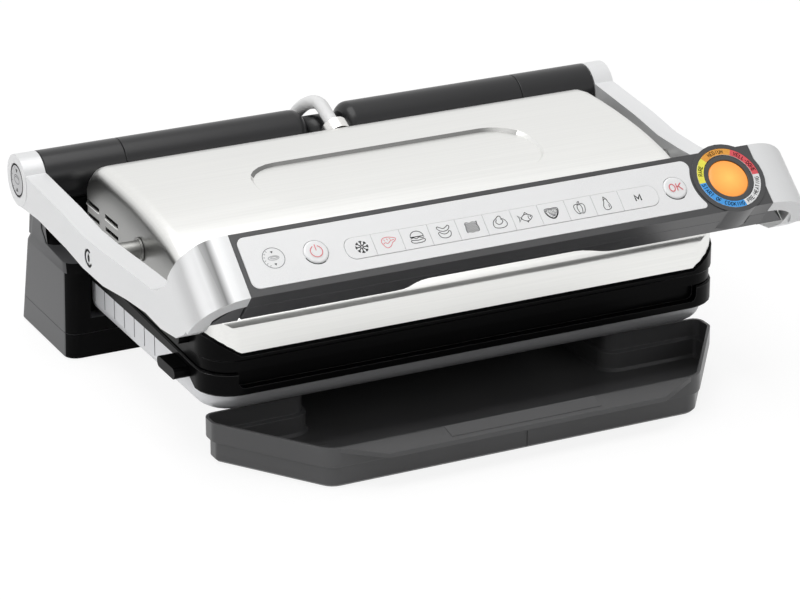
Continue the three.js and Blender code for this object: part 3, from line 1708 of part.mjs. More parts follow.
// Panel and what it carries, in its own tilted frame
const panel = new THREE.Group();
panel.position.set(0, panelFootY, panelFootZ);
panel.rotation.x = panelTilt;
grill.add(panel);
place('panel_frame', panelFrame(), graphite(), panel);
place('panel_back', panelBack(), graphite(), panel);
place('panel_fascia', fascia(), whitePanel(), panel);
place('control_board', controlBoard(), boardGreen(), panel);
place('arm_liner_right', rightArmLiner(), black(), panel);
place('arm_liner_left', mirrored(armLiner()), black(), panel);
const wellFloor = -panelFrontDepth + gap;
place('dial_bezel', annulus(lensRadius + gap, colourInner, wellFloor, bezelRise), black(), panel);
const ring = annulus(colourInner + gap, colourOuter, dialRise - colourThick, dialRise);
place('colour_ring', ring, whitePanel(), panel);
place('dial_lens', lens(), material(0xe87722, 0.25, 0), panel);
place('power_button', roundButton(buttonX), whitePanel(), panel);
place('ok_button', roundButton(okX), whitePanel(), panel);
for (let i = 0; i < keyCount; i += 1) {
  place(`program_key_${String(i + 1).padStart(2, '0')}`, programKey(i), whitePanel(), panel);
}

export default grill;
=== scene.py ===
import json
import math

import bmesh
import bpy
from mathutils import Matrix, Vector

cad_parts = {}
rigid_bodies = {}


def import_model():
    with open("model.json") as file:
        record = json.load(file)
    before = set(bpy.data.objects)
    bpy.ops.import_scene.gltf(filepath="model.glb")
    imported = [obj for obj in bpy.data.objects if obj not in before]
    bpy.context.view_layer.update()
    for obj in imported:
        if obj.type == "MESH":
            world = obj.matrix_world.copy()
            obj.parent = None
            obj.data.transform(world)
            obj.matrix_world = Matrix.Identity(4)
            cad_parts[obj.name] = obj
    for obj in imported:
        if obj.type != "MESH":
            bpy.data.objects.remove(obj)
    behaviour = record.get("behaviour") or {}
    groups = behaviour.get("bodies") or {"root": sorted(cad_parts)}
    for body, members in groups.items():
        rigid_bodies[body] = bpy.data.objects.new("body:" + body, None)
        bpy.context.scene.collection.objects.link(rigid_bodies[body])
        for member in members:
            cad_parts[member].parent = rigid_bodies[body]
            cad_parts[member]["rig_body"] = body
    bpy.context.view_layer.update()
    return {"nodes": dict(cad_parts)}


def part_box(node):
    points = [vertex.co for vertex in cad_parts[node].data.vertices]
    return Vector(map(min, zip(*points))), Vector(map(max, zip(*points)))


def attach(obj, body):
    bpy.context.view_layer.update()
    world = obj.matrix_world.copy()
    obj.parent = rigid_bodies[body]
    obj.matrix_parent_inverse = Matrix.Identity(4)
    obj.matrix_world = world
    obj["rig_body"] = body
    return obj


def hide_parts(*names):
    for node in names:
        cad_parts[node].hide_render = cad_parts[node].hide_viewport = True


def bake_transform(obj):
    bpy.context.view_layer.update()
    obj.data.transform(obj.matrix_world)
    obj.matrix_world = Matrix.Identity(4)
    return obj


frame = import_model()
nodes = frame["nodes"]

# studio
# A long lens looks down on the grill from its left front corner, as in the photograph.
# The grill stands on a pale floor under a broad soft lamp, with one to its left and a weak one in front.
camera_azimuth = math.radians(-26.26)
camera_elevation = math.radians(22.19)
camera_place = (-1.101246, -2.232154, 1.062147)
camera_lens = 160.56
film_width = 36
nearest_seen = 0.1
farthest_seen = 40
towards_camera = Vector((
    math.sin(camera_azimuth) * math.cos(camera_elevation),
    -math.cos(camera_azimuth) * math.cos(camera_elevation),
    math.sin(camera_elevation),
))
camera = bpy.data.objects.new("studio_camera", bpy.data.cameras.new("studio_camera"))
camera.data.sensor_width = film_width
camera.data.lens = camera_lens
camera.data.clip_start = nearest_seen
camera.data.clip_end = farthest_seen
camera.location = camera_place
camera.rotation_mode = "QUATERNION"
camera.rotation_quaternion = (-towards_camera).to_track_quat("-Z", "Y")
bpy.context.scene.collection.objects.link(camera)
bpy.context.scene.camera = camera
bpy.context.scene.view_settings.view_transform = "Standard"
lamps = [
    ("top_softbox", (-0.3, 0.0, 2.1), (0, 0, 0), 1.8, 29),
    ("left_softbox", (-2.0, -0.1, 0.9), (0, 0, 0.1), 1.0, 9),
    ("front_softbox", (0.7, -2.2, 1.0), (0, 0, 0.1), 0.8, 2),
]
for name, place, aim, size, watts in lamps:
    lamp = bpy.data.lights.new(name, "AREA")
    lamp.size = size
    lamp.energy = watts
    holder = bpy.data.objects.new(name, lamp)
    holder.location = place
    holder.rotation_euler = (Vector(aim) - Vector(place)).to_track_quat("-Z", "Y").to_euler()
    bpy.context.scene.collection.objects.link(holder)


class Signal:
    """An output of a material's nodes. Sums on it add Math nodes."""

    def __init__(self, paint, socket):
        self.paint = paint
        self.socket = socket

    def sum(self, operation, first, second):
        return self.paint.node("ShaderNodeMath", {"operation": operation}, {0: first, 1: second})

    def __add__(self, other):
        return self.sum("ADD", self, other)

    def __radd__(self, other):
        return self.sum("ADD", other, self)

    def __sub__(self, other):
        return self.sum("SUBTRACT", self, other)

    def __rsub__(self, other):
        return self.sum("SUBTRACT", other, self)

    def __mul__(self, other):
        return self.sum("MULTIPLY", self, other)

    def __rmul__(self, other):
        return self.sum("MULTIPLY", other, self)


class Paint:
    """One material: its surface shader, and the nodes that vary it over the piece."""

    def __init__(self, name, colour=(0.8, 0.8, 0.8), roughness=0.5, metallic=0.0, gloss=0.5):
        self.material = bpy.data.materials.new(name)
        self.material.use_nodes = True
        self.tree = self.material.node_tree
        self.surface = self.tree.nodes["Principled BSDF"]
        self.surface.inputs["Base Color"].default_value = (*colour, 1)
        self.surface.inputs["Roughness"].default_value = roughness
        self.surface.inputs["Metallic"].default_value = metallic
        self.surface.inputs["Specular IOR Level"].default_value = gloss
        self.material.diffuse_color = (*colour, 1)

    def node(self, kind, settings, inputs, output=0):
        made = self.tree.nodes.new(kind)
        for name, value in settings.items():
            if name == "stops":
                ramp = made.color_ramp.elements
                while len(ramp) < len(value):
                    ramp.new(0.5)
                for stop, (place, shade) in zip(ramp, value):
                    stop.position = place
                    stop.color = (*shade, 1) if hasattr(shade, "__len__") else (shade, shade, shade, 1)
            else:
                setattr(made, name, value)
        for name, value in inputs.items():
            self.plug(made.inputs[name], value)
        return Signal(self, made.outputs[output])

    def plug(self, socket, value):
        if isinstance(value, Signal):
            self.tree.links.new(value.socket, socket)
        elif socket.type == "RGBA":
            socket.default_value = (*value, 1)
        else:
            socket.default_value = value

    def feed(self, name, value):
        self.plug(self.surface.inputs[name], value)

    def place(self, scale=(1, 1, 1)):
        """Where a point lies on the object, in metres, stretched by scale."""
        spot = self.node("ShaderNodeTexCoord", {}, {}, "Object")
        return self.node("ShaderNodeMapping", {}, {"Vector": spot, "Scale": scale})

    def grain(self, scale, detail=3, stretch=(1, 1, 1)):
        """Noise from 0 to 1 with cells of about 1 / scale metres."""
        cells = {"Vector": self.place(stretch), "Scale": scale, "Detail": detail}
        return self.node("ShaderNodeTexNoise", {}, cells)

    def mix(self, factor, first, second):
        return self.node("ShaderNodeMix", {"data_type": "RGBA"}, {0: factor, 6: first, 7: second}, 2)

    def bands(self, colour, stops):
        """The colour times a row of shades, from faces that don't look sideways to those that do: painted
        light, shade and reflection in place of how the lamps fall.
        """
        normal = self.node("ShaderNodeNewGeometry", {}, {}, "Normal")
        across = self.node("ShaderNodeSeparateXYZ", {}, {0: normal}, "X")
        sideways = self.node("ShaderNodeMath", {"operation": "ABSOLUTE"}, {0: across})
        shade = self.node("ShaderNodeValToRGB", {"stops": stops}, {0: sideways})
        multiply = {"data_type": "RGBA", "blend_type": "MULTIPLY"}
        return self.node("ShaderNodeMix", multiply, {0: 1.0, 6: colour, 7: shade}, 2)

    def relief(self, height, distance):
        bump = {"Height": height, "Distance": distance}
        self.feed("Normal", self.node("ShaderNodeBump", {}, bump))


def sheet(name, points, faces, finish):
    """A piece made of faces over a row of points, in one finish."""
    mesh = bpy.data.meshes.new(name)
    mesh.from_pydata(points, [], faces)
    mesh.materials.append(finish.material)
    piece = bpy.data.objects.new(name, mesh)
    bpy.context.scene.collection.objects.link(piece)
    return piece


floor_reach = 9
floor_drop = 0.0002
floor_glow = 0.86
floor_seen_shade = 0.2
floor_lit_shade = 0.75
floor = Paint("studio_floor")
path = floor.node("ShaderNodeLightPath", {}, {}, "Is Camera Ray")
shine = floor.node("ShaderNodeLightPath", {}, {}, "Is Glossy Ray")
through = floor.node("ShaderNodeLightPath", {}, {}, "Is Transmission Ray")
glow = floor.node("ShaderNodeEmission", {}, {"Color": (1, 1, 1), "Strength": floor_glow})
matt = floor.node("ShaderNodeBsdfDiffuse", {}, {"Color": (floor_seen_shade,) * 3})
seen = floor.node("ShaderNodeAddShader", {}, {0: glow, 1: matt})
plain = floor.node("ShaderNodeBsdfDiffuse", {}, {"Color": (floor_lit_shade,) * 3})
either = floor.node("ShaderNodeMixShader", {}, {0: path + shine + through, 1: plain, 2: seen})
floor.plug(floor.tree.nodes["Material Output"].inputs["Surface"], either)
corners = [(-1, -1), (1, -1), (1, 1), (-1, 1)]
floor_points = [(x * floor_reach, y * floor_reach, -floor_drop) for x, y in corners]
sheet("studio_floor", floor_points, [(0, 1, 2, 3)], floor)

room_light = 0.34
wall_stops = [(0.0, 0.85), (0.02, 0.6), (0.05, 0.64), (0.11, 0.92), (1.0, 1.0)]
sky = bpy.data.worlds.new("studio_air")
bpy.context.scene.world = sky
sky.use_nodes = True
air = sky.node_tree
lit = air.nodes["Background"]
lit.inputs["Color"].default_value = (1, 1, 1, 1)
lit.inputs["Strength"].default_value = room_light
white = air.nodes.new("ShaderNodeBackground")
white.inputs["Color"].default_value = (1, 1, 1, 1)
mirrored_room = air.nodes.new("ShaderNodeBackground")
heading = air.nodes.new("ShaderNodeTexCoord")
parts = air.nodes.new("ShaderNodeSeparateXYZ")
walls = air.nodes.new("ShaderNodeValToRGB")
while len(walls.color_ramp.elements) < len(wall_stops):
    walls.color_ramp.elements.new(0.5)
for stop, (height, shade) in zip(walls.color_ramp.elements, wall_stops):
    stop.position = height
    stop.color = (shade, shade, shade, 1)
rays = air.nodes.new("ShaderNodeLightPath")
seen_air = air.nodes.new("ShaderNodeMixShader")
either_air = air.nodes.new("ShaderNodeMixShader")
through_air = air.nodes.new("ShaderNodeMath")
through_air.use_clamp = True
for source, socket in (
        (heading.outputs["Generated"], parts.inputs[0]),
        (parts.outputs["Z"], walls.inputs[0]),
        (walls.outputs["Color"], mirrored_room.inputs["Color"]),
        (rays.outputs["Is Camera Ray"], through_air.inputs[0]),
        (rays.outputs["Is Transmission Ray"], through_air.inputs[1]),
        (rays.outputs["Is Glossy Ray"], seen_air.inputs[0]),
        (lit.outputs[0], seen_air.inputs[1]),
        (mirrored_room.outputs[0], seen_air.inputs[2]),
        (through_air.outputs[0], either_air.inputs[0]),
        (seen_air.outputs[0], either_air.inputs[1]),
        (white.outputs[0], either_air.inputs[2]),
        (either_air.outputs[0], air.nodes["World Output"].inputs["Surface"])):
    air.links.new(source, socket)

# rear housing and shoe
# The rear housing carries the hinge in two towers and holds the mains board; its shoe closes it below.
# Both are moulded in graphite plastic with a fine spark-eroded texture, and meet in a shadow line. Their
# faces that look forward are painted near-black as painted shade.


weld_distance = 1e-6
flat_turn = math.radians(0.5)


def bodied(name, node, edge, finish, sharp=32, steps=2, rim=None, painted_shade_finish=None, painted_shade_faces=None,
           still=True):
    """A piece with the form of a solid, its edges rounded by edge metres and its curves shaded smooth.
    The roundings can have a finish of their own, rim, and so can the faces that painted_shade_faces picks,
    painted_shade_finish, which paints shade on them.
    A piece that isn't still is fixed to no body here."""
    source = nodes[node]
    mesh = bpy.data.meshes.new(name)
    shape = bmesh.new()
    shape.from_mesh(source.data)
    bmesh.ops.remove_doubles(shape, verts=shape.verts, dist=weld_distance)
    bmesh.ops.dissolve_limit(shape, angle_limit=flat_turn, verts=shape.verts, edges=shape.edges)
    for face in shape.faces:
        face.smooth = True
        face.material_index = 1 if painted_shade_faces and painted_shade_faces(face.calc_center_median(), face.normal) else 0
    for line in shape.edges:
        line.smooth = len(line.link_faces) != 2 or line.calc_face_angle(0) <= math.radians(sharp)
    for coat in (finish, painted_shade_finish or finish, rim or finish):
        mesh.materials.append(coat.material)
    shape.to_mesh(mesh)
    shape.free()
    piece = bpy.data.objects.new(name, mesh)
    bpy.context.scene.collection.objects.link(piece)
    if edge:
        rounding = piece.modifiers.new("edge", "BEVEL")
        rounding.width = edge
        rounding.segments = steps
        rounding.limit_method = "ANGLE"
        rounding.angle_limit = math.radians(sharp)
        rounding.miter_outer = "MITER_ARC"
        rounding.material = 2 if rim else -1
    evening = piece.modifiers.new("evening", "WEIGHTED_NORMAL")
    evening.keep_sharp = True
    if still:
        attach(piece, source["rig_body"])
    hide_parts(node)
    return piece


def moulded(name, colour, roughness, gloss, grain_size=0.0006, depth=0.00002, mottle=0.12):
    """Moulded plastic: an even fine grain, with faint cloudiness in its sheen."""
    cloud_scale = 18
    sheen_drop = 0.05
    cloud_sheen = 0.06
    grain_sheen = 0.04
    plastic = Paint(name, colour, roughness, 0.0, gloss)
    cloud = plastic.grain(cloud_scale, 2)
    fine = plastic.grain(1 / grain_size, 2)
    darker = tuple(c * (1 - mottle) for c in colour)
    lighter = tuple(min(1, c * (1 + mottle)) for c in colour)
    plastic.feed("Base Color", plastic.mix(cloud, darker, lighter))
    plastic.feed("Roughness", roughness - sheen_drop + cloud_sheen * cloud + grain_sheen * fine)
    plastic.relief(fine, depth)
    return plastic


forward_limit = -0.35
shell_edge = 0.0012
shoe_edge = 0.0008
graphite = moulded("graphite_plastic", (0.085, 0.086, 0.089), 0.42, 0.36)
# Painted shade: faces of the housing and shoe that look forward are painted near-black, where the front lies
# in shade.
painted_shade_graphite = moulded("graphite_plastic_painted_front_shade", (0.004, 0.004, 0.0042), 0.6, 0.04)
looks_forward = lambda spot, way: way.y < forward_limit
for name, node, edge in (
        ("housing_shell", "rear_housing", shell_edge),
        ("housing_shoe", "rear_shoe", shoe_edge)):
    piece = bodied(name, node, edge, graphite, painted_shade_finish=painted_shade_graphite, painted_shade_faces=looks_forward)

# feet, inlet and mains board
# Soft rubber feet under the bowl and pads under the shoe; a bush lets the mains cord into the rear wall.
# The mains board is a green laminate with its larger blocks.
foot_edge = 0.0006
bush_edge = 0.0005
rubber = moulded("foot_rubber", (0.02, 0.02, 0.021), 0.75, 0.3, grain_size=0.0004, depth=0.00004)
for node in ("front_foot_left", "front_foot_right", "rear_pad_left", "rear_pad_right"):
    bodied(node + "_rubber", node, foot_edge, rubber)
inlet_black = moulded("inlet_plastic", (0.016, 0.016, 0.017), 0.4, 0.4)
bodied("cord_inlet_bush", "cord_inlet", bush_edge, inlet_black)
laminate = moulded("circuit_laminate", (0.02, 0.12, 0.06), 0.4, 0.5, grain_size=0.0012, depth=0.00003,
                   mottle=0.3)
for node in ("power_board", "control_board"):
    bodied(node + "_laminate", node, 0, laminate)

# bowl
# The bowl under the grill is moulded and sprayed in satin silver, with seven fine upright grooves a side.
# The spray has tiny metal flakes, which shift its brightness a little from point to point.


def sprayed(name, colour, roughness, metallic, stops=None):
    """Satin silver spray over plastic: fine flakes and a soft orange-peel; stops paint light and shade over
    it by how far a face looks sideways.
    """
    flake_scale = 2600
    peel_scale = 380
    peel_depth = 0.00001
    cloud_scale = 9
    flake_spread = 0.06
    flake_lift = 0.05
    sheen_drop = 0.05
    cloud_sheen = 0.08
    flake_sheen = 0.04
    silver = Paint(name, colour, roughness, metallic)
    flakes = silver.grain(flake_scale, 2)
    peel = silver.grain(peel_scale, 2)
    cloud = silver.grain(cloud_scale, 2)
    darker = tuple(c * (1 - flake_spread) for c in colour)
    lighter = tuple(min(1, c * (1 + flake_lift)) for c in colour)
    tone = silver.mix(flakes, darker, lighter)
    silver.feed("Base Color", silver.bands(tone, stops) if stops else tone)
    silver.feed("Roughness", roughness - sheen_drop + cloud_sheen * cloud + flake_sheen * flakes)
    silver.relief(peel, peel_depth)
    return silver


bowl_edge = 0.0004
# Painted light and shade: faces of the bowl that look sideways are painted lighter, and its front, top and
# underside darker.
bowl_painted_light_bands = [(0, 0.62), (0.5, 0.8), (1, 1.25)]
bowl_silver_painted_light = sprayed("silver_plastic", (0.62, 0.625, 0.64), 0.38, 0.3, bowl_painted_light_bands)
bodied("bowl_shell", "base_bowl", bowl_edge, bowl_silver_painted_light)

# plate surround and release tabs
# The black surround seats the lower plate and is notched in front so that fat runs to the tray.
# The release tabs are the same glossy black plastic on small steel springs.
surround_edge = 0.0006
tab_edge = 0.0011
deep_black = moulded("black_plastic", (0.0022, 0.0022, 0.0024), 0.3, 0.05, grain_size=0.0009, depth=0.000008,
                     mottle=0.1)
polished_black = moulded("black_plastic_edge", (0.006, 0.006, 0.0065), 0.14, 0.75, grain_size=0.0009,
                         depth=0.000004, mottle=0.1)
surround = bodied("surround_shell", "plate_surround", surround_edge, deep_black, rim=polished_black)
for node in ("lower_release_button", "upper_release_button"):
    bodied(node + "_cap", node, tab_edge, deep_black, steps=3)

# plates, heaters and reflectors
# The ribbed plates are cast aluminium with a dark speckled non-stick coating.
# Each lies on a bent heating rod over a bright reflector pan, all held by the plate's own frame.
speck_scale = 1500
speck_depth = 0.00003
wear_scale = 60
wear_sheen = 0.16
least_roughness = 0.34
plate_edge = 0.0005
speck_colour = (0.14, 0.13, 0.12)
ground_colour = (0.022, 0.021, 0.02)
coating = Paint("coated_aluminium", (0.03, 0.028, 0.026), 0.42, 0.2)
speck = coating.grain(speck_scale, 3)
speckled = coating.node("ShaderNodeValToRGB", {"stops": [(0.62, 0.0), (0.7, 1.0)]}, {0: speck})
coating.feed("Base Color", coating.mix(speckled, ground_colour, speck_colour))
coating.feed("Roughness", least_roughness + wear_sheen * coating.grain(wear_scale, 2))
coating.relief(speck, speck_depth)
for node in ("lower_plate", "upper_plate"):
    bodied(node + "_casting", node, plate_edge, coating)


def drawn(name, colour, roughness, lines, stops=None):
    """Bare metal with lines in one direction; lines is how often they come along x, y and z. Stops, when
    given, paint shade over it by how far a face looks sideways.
    """
    line_depth = 0.00001
    cloud_scale = 14
    line_spread = 0.07
    line_lift = 0.05
    sheen_drop = 0.06
    line_sheen = 0.08
    cloud_sheen = 0.05
    metal = Paint(name, colour, roughness, 1.0)
    streak = metal.grain(1.0, 3, lines)
    cloud = metal.grain(cloud_scale, 2)
    darker = tuple(c * (1 - line_spread) for c in colour)
    lighter = tuple(min(1, c * (1 + line_lift)) for c in colour)
    tone = metal.mix(streak, darker, lighter)
    metal.feed("Base Color", metal.bands(tone, stops) if stops else tone)
    metal.feed("Roughness", roughness - sheen_drop + line_sheen * streak + cloud_sheen * cloud)
    metal.relief(streak, line_depth)
    return metal


round_turn = 60
rod_steel = drawn("heater_steel", (0.38, 0.36, 0.33), 0.45, (400, 400, 400))
bright = drawn("bright_sheet", (0.78, 0.78, 0.76), 0.28, (20, 900, 900))
plated = drawn("plated_steel", (0.58, 0.58, 0.56), 0.32, (900, 900, 900))
for node in ("lower_heater", "upper_heater"):
    bodied(node + "_rod", node, 0, rod_steel, round_turn)
for node in ("lower_reflector", "upper_reflector"):
    bodied(node + "_pan", node, 0, bright)
for node in ("lower_release_spring", "upper_release_spring"):
    bodied(node + "_coil", node, 0, plated, round_turn)

# hinge line: covers and shaft
# Two knuckle covers stand on the towers and two bar covers turn with the handle, all round a steel shaft.
# The covers are satin black plastic with a slightly coarser grain. A neck of it hides the shaft between them.
cover_edge = 0.0006
shaft_edge = 0.0004
satin_black = moulded("satin_black_plastic", (0.012, 0.012, 0.013), 0.3, 0.36, grain_size=0.0007,
                      depth=0.00001)
for node in ("knuckle_cover_left", "knuckle_cover_right", "bar_cover_left", "bar_cover_right"):
    bodied(node + "_shell", node, cover_edge, satin_black)
# Painted shade: the shaft is painted near-black, as it lies in shade between the covers.
shaft_painted_shade_steel = drawn("shaft_steel_painted_shade", (0.035, 0.035, 0.037), 0.4, (900, 900, 900))
bodied("hinge_shaft_rod", "hinge_shaft", shaft_edge, shaft_painted_shade_steel)
neck_radius = 0.0135
neck_axis = Vector((0, 0.14, 0.1375))
neck_sides = 40
neck_hold = 0.001
neck_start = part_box("bar_cover_left")[1].x - neck_hold
neck_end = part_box("bar_cover_right")[0].x + neck_hold
neck_points = []
for x in (neck_start, neck_end):
    for side in range(neck_sides):
        turn = 2 * math.pi * side / neck_sides
        way = Vector((0, math.cos(turn), math.sin(turn)))
        neck_points.append(neck_axis + Vector((x, 0, 0)) + neck_radius * way)
neck_faces = [tuple(reversed(range(neck_sides))), tuple(range(neck_sides, 2 * neck_sides))]
for side in range(neck_sides):
    ahead = (side + 1) % neck_sides
    neck_faces.append((side, ahead, neck_sides + ahead, neck_sides + side))
neck = sheet("bar_neck", neck_points, neck_faces, satin_black)
for face in neck.data.polygons:
    face.use_smooth = len(face.vertices) == 4
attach(neck, "handle")

# handle arms
# The arms are moulded as one with the bent end caps and sprayed in pale silver.
# A ringed badge fills each hub, and a screw in a ring holds each pivot pin of the lid.
arm_edge = 0.0014
arm_turn = 30
arm_silver = (0.86, 0.865, 0.87)
# Painted reflection: over the left arm and its end cap's bend, light and dark streaks are painted by how far
# a face looks sideways.
cap_painted_reflection_bands = [(0, 0.88), (0.2, 0.9), (0.28, 0.5), (0.35, 0.16), (0.46, 0.45), (0.58, 0.97), (0.85, 0.62),
             (1, 0.93)]
# Painted shade: the right arm's faces that look sideways are painted a little darker.
right_painted_shade_bands = [(0, 0.95), (0.4, 0.95), (0.7, 0.88), (1, 0.86)]
pale_silver_painted_reflection = sprayed("pale_silver_plastic", arm_silver, 0.3, 0.15, cap_painted_reflection_bands)
pale_silver_painted_shade_right = sprayed("pale_silver_plastic_painted_shade_right", arm_silver, 0.3, 0.15, right_painted_shade_bands)
polished_silver = sprayed("pale_silver_edge", (0.88, 0.88, 0.89), 0.2, 0.15)
for node, finish in (("arm_left", pale_silver_painted_reflection), ("arm_right", pale_silver_painted_shade_right)):
    piece = bodied(node + "_casting", node, arm_edge, finish, arm_turn, steps=3, rim=polished_silver)


def bow(x, y, across, up, start, end, steps=12):
    """An arc about x, y with half-axes across and up, from start to end in degrees."""
    turns = [math.radians(start + (end - start) * i / steps) for i in range(steps + 1)]
    return [(x + across * math.cos(turn), y + up * math.sin(turn)) for turn in turns]


same_spot = 0.001
sharpest_corner = 0.6


def printed(name, lines, width, lay, ink, body):
    """Thin lines of print, and of painted shadow, each a row of points in millimetres; lay puts a point of
    them on its face.
    """
    points = []
    faces = []
    for line in lines:
        spots = [Vector(spot) for spot in line]
        closed = (spots[0] - spots[-1]).length < same_spot
        if closed:
            spots.pop()
        count = len(spots)
        first = len(points)
        for i, spot in enumerate(spots):
            ahead = spots[(i + 1) % count] - spot if closed or i < count - 1 else spot - spots[i - 1]
            behind = spot - spots[i - 1] if closed or i else ahead
            ahead.normalize()
            behind.normalize()
            across = Vector((-ahead.y - behind.y, ahead.x + behind.x)).normalized()
            reach = width / 2 / max(sharpest_corner, across.dot(Vector((-ahead.y, ahead.x))))
            points.append(lay(*(spot - across * reach)))
            points.append(lay(*(spot + across * reach)))
        for i in range(count if closed else count - 1):
            near = first + 2 * i
            far = first + 2 * ((i + 1) % count)
            faces.append((near, far, far + 1, near + 1))
    piece = sheet(name, points, faces, ink)
    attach(piece, body)


def on_side(node, sign, rise):
    """Puts sign points on the outer face of a round piece at the side, rise metres over it."""
    low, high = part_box(node)
    middle = (low + high) / 2
    face_x = (low.x if sign < 0 else high.x) + sign * rise
    return lambda x, y: (face_x, middle.y + sign * x / 1000, middle.z + y / 1000)


badge_edge = 0.0004
badge_sink = 0.0001
badge_print_sink = 0.00004
screw_print_rise = 0.00006
badge_grey = moulded("badge_plastic", (0.56, 0.56, 0.57), 0.35, 0.5)
dark_ink_and_painted_shadow = moulded("dark_ink_and_painted_shadow", (0.008, 0.008, 0.009), 0.5, 0.06, grain_size=0.0004, depth=0.000004)
grey_ink = moulded("grey_ink", (0.16, 0.16, 0.17), 0.5, 0.2, grain_size=0.0004, depth=0.000004)
hub_ring_line = 1.3
hub_ring_inset = 0.9
hub_sign_line = 0.6
hub_sign = [bow(0, 0, 5, 2.6, 0, 360, 24), bow(0, 1, 5.4, 3, 20, 160)]
arrow_line = 1.0
hub_arrows = [[(-1.3, end * 8.4), (0, end * 6.6), (1.3, end * 8.4), (-1.3, end * 8.4)] for end in (1, -1)]
mark_start_share = 0.72
mark_end_share = 0.84
for side, sign in (("left", -1), ("right", 1)):
    node = "hub_badge_" + side
    disc = bodied(node + "_disc", node, badge_edge, badge_grey)
    disc.data.transform(Matrix.Translation((-sign * badge_sink, 0, 0)))
    low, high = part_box(node)
    reach = (high.z - low.z) * 500
    hub_marks = []
    for angle in range(110, 251, 28):
        way = Vector((math.cos(math.radians(angle)), math.sin(math.radians(angle))))
        hub_marks.append([way * reach * mark_start_share, way * reach * mark_end_share])
    on_hub = on_side(node, sign, -badge_print_sink)
    hub_ring = bow(0, 0, reach - hub_ring_inset, reach - hub_ring_inset, 0, 360, 48)
    printed(f"hub_ring_{side}", [hub_ring], hub_ring_line, on_hub, dark_ink_and_painted_shadow, "handle")
    printed(f"hub_signs_{side}", hub_marks + hub_sign, hub_sign_line,
            on_hub, grey_ink, "handle")
    printed(f"hub_marks_{side}", hub_arrows, arrow_line, on_hub, dark_ink_and_painted_shadow, "handle")
liner_edge = 0.0004
for node in ("arm_liner_left", "arm_liner_right"):
    bodied(node + "_shell", node, liner_edge, graphite)
pin_edge = 0.0004
screw_edge = 0.0003
screw_ring_line = 2.0
screw_sign = [bow(0, 0, 5.9, 5.9, 60, 330, 30), bow(0, 0, 1.1, 1.9, 0, 360, 16)]
burnished = drawn("burnished_steel", (0.30, 0.30, 0.29), 0.38, (900, 300, 300))
for side, sign in (("left", -1), ("right", 1)):
    pin = "pivot_pin_" + side
    screw = "pivot_screw_" + side
    bodied(pin + "_turned", pin, pin_edge, burnished)
    # The screws take the left arm's silver, with its painted reflection.
    bodied(screw + "_turned", screw, screw_edge, pale_silver_painted_reflection)
    on_screw = on_side(screw, sign, screw_print_rise)
    printed(f"screw_ring_{side}", screw_sign, screw_ring_line, on_screw, dark_ink_and_painted_shadow, nodes[screw]["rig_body"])

# lid shell and skirt
# The lid is pressed from one sheet of stainless steel and brushed along its width, with louvres in its sides.
# The black skirt frames it and seats the upper plate, with the small gland for the wiring on its rear edge.
lid_edge = 0.0004
lid_turn = 25
brushed_lines = (6, 700, 700)
# Painted shade: the lid's faces that look sideways are painted darker, in place of the dark reflections its
# sides catch.
side_painted_shade_bands = [(0, 1.0), (0.7, 1.0), (0.85, 0.8), (0.95, 0.5), (1, 0.38)]
lid_steel_painted_side_shade = drawn("brushed_steel", (0.84, 0.84, 0.82), 0.30, brushed_lines, side_painted_shade_bands)
# Painted shade: the rear wall of the recess in the lid's top is painted dark steel.
recess_painted_shade_steel = drawn("brushed_steel_step_painted_shade", (0.20, 0.20, 0.195), 0.30, brushed_lines)
recess_low = (-0.12, 0.02, 0.13)
recess_high = (0.12, 0.045, 0.162)
recess_limit = -0.25


def in_recess_wall(spot, way):
    """Whether a face of the lid is in the rear wall of its recess, which looks forwards; these faces are
    painted dark as painted shade.
    """
    inside = all(low <= place <= high for low, place, high in zip(recess_low, spot, recess_high))
    return inside and way.y < recess_limit


lid = bodied("lid_pressing", "lid_shell", lid_edge, lid_steel_painted_side_shade, lid_turn, painted_shade_finish=recess_painted_shade_steel,
             painted_shade_faces=in_recess_wall)
lip_side = 0.2074
lip_front = 0.046
lip_pitch = 0.037
lip_length = 0.025
lip_top = 0.124
lip_height = 0.0016
lip_reach = 0.0009
lip_taper = 0.001
lip_top_slope = 0.0003
lip_low_slope = 0.0004
lip_faces = [(0, 1, 2, 3), (4, 7, 6, 5), (0, 4, 5, 1), (1, 5, 6, 2), (2, 6, 7, 3), (3, 7, 4, 0)]
for side, sign in (("left", -1), ("right", 1)):
    for column in range(2):
        start = lip_front + column * lip_pitch
        end = start + lip_length
        low = lip_top - lip_height
        lip_points = []
        for reach, taper, drop, lift in ((0, 0, 0, 0), (lip_reach, lip_taper, lip_top_slope, lip_low_slope)):
            x = sign * (lip_side + reach)
            lip_points += [(x, start + taper, lip_top - drop), (x, end - taper, lip_top - drop),
                           (x, end - taper, low + lift), (x, start + taper, low + lift)]
        lip = sheet(f"louvre_lip_{side}_{column}", lip_points, lip_faces, bright)
        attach(lip, "lid")
skirt_edge = 0.0006
gland_edge = 0.0004
bodied("skirt_shell", "lid_skirt", skirt_edge, deep_black, rim=polished_black)
blister = drawn("pressed_steel", (0.80, 0.79, 0.77), 0.26, (300, 300, 300))
bodied("gland_blister", "sleeve_gland", gland_edge, blister, round_turn)

# panel frame and back
# The dark frame carries the panel between the end caps. The back closes it from below, with a finger recess.
# Both are moulded in a dark grey plastic, like the bezel round the indicator.
frame_edge = 0.0009
bezel_edge = 0.0003
frame_grey = moulded("panel_plastic", (0.062, 0.062, 0.064), 0.3, 0.45)
for name, node in (("panel_frame_shell", "panel_frame"), ("panel_back_shell", "panel_back")):
    bodied(name, node, frame_edge, frame_grey)
bodied("dial_bezel_shell", "dial_bezel", bezel_edge, frame_grey)

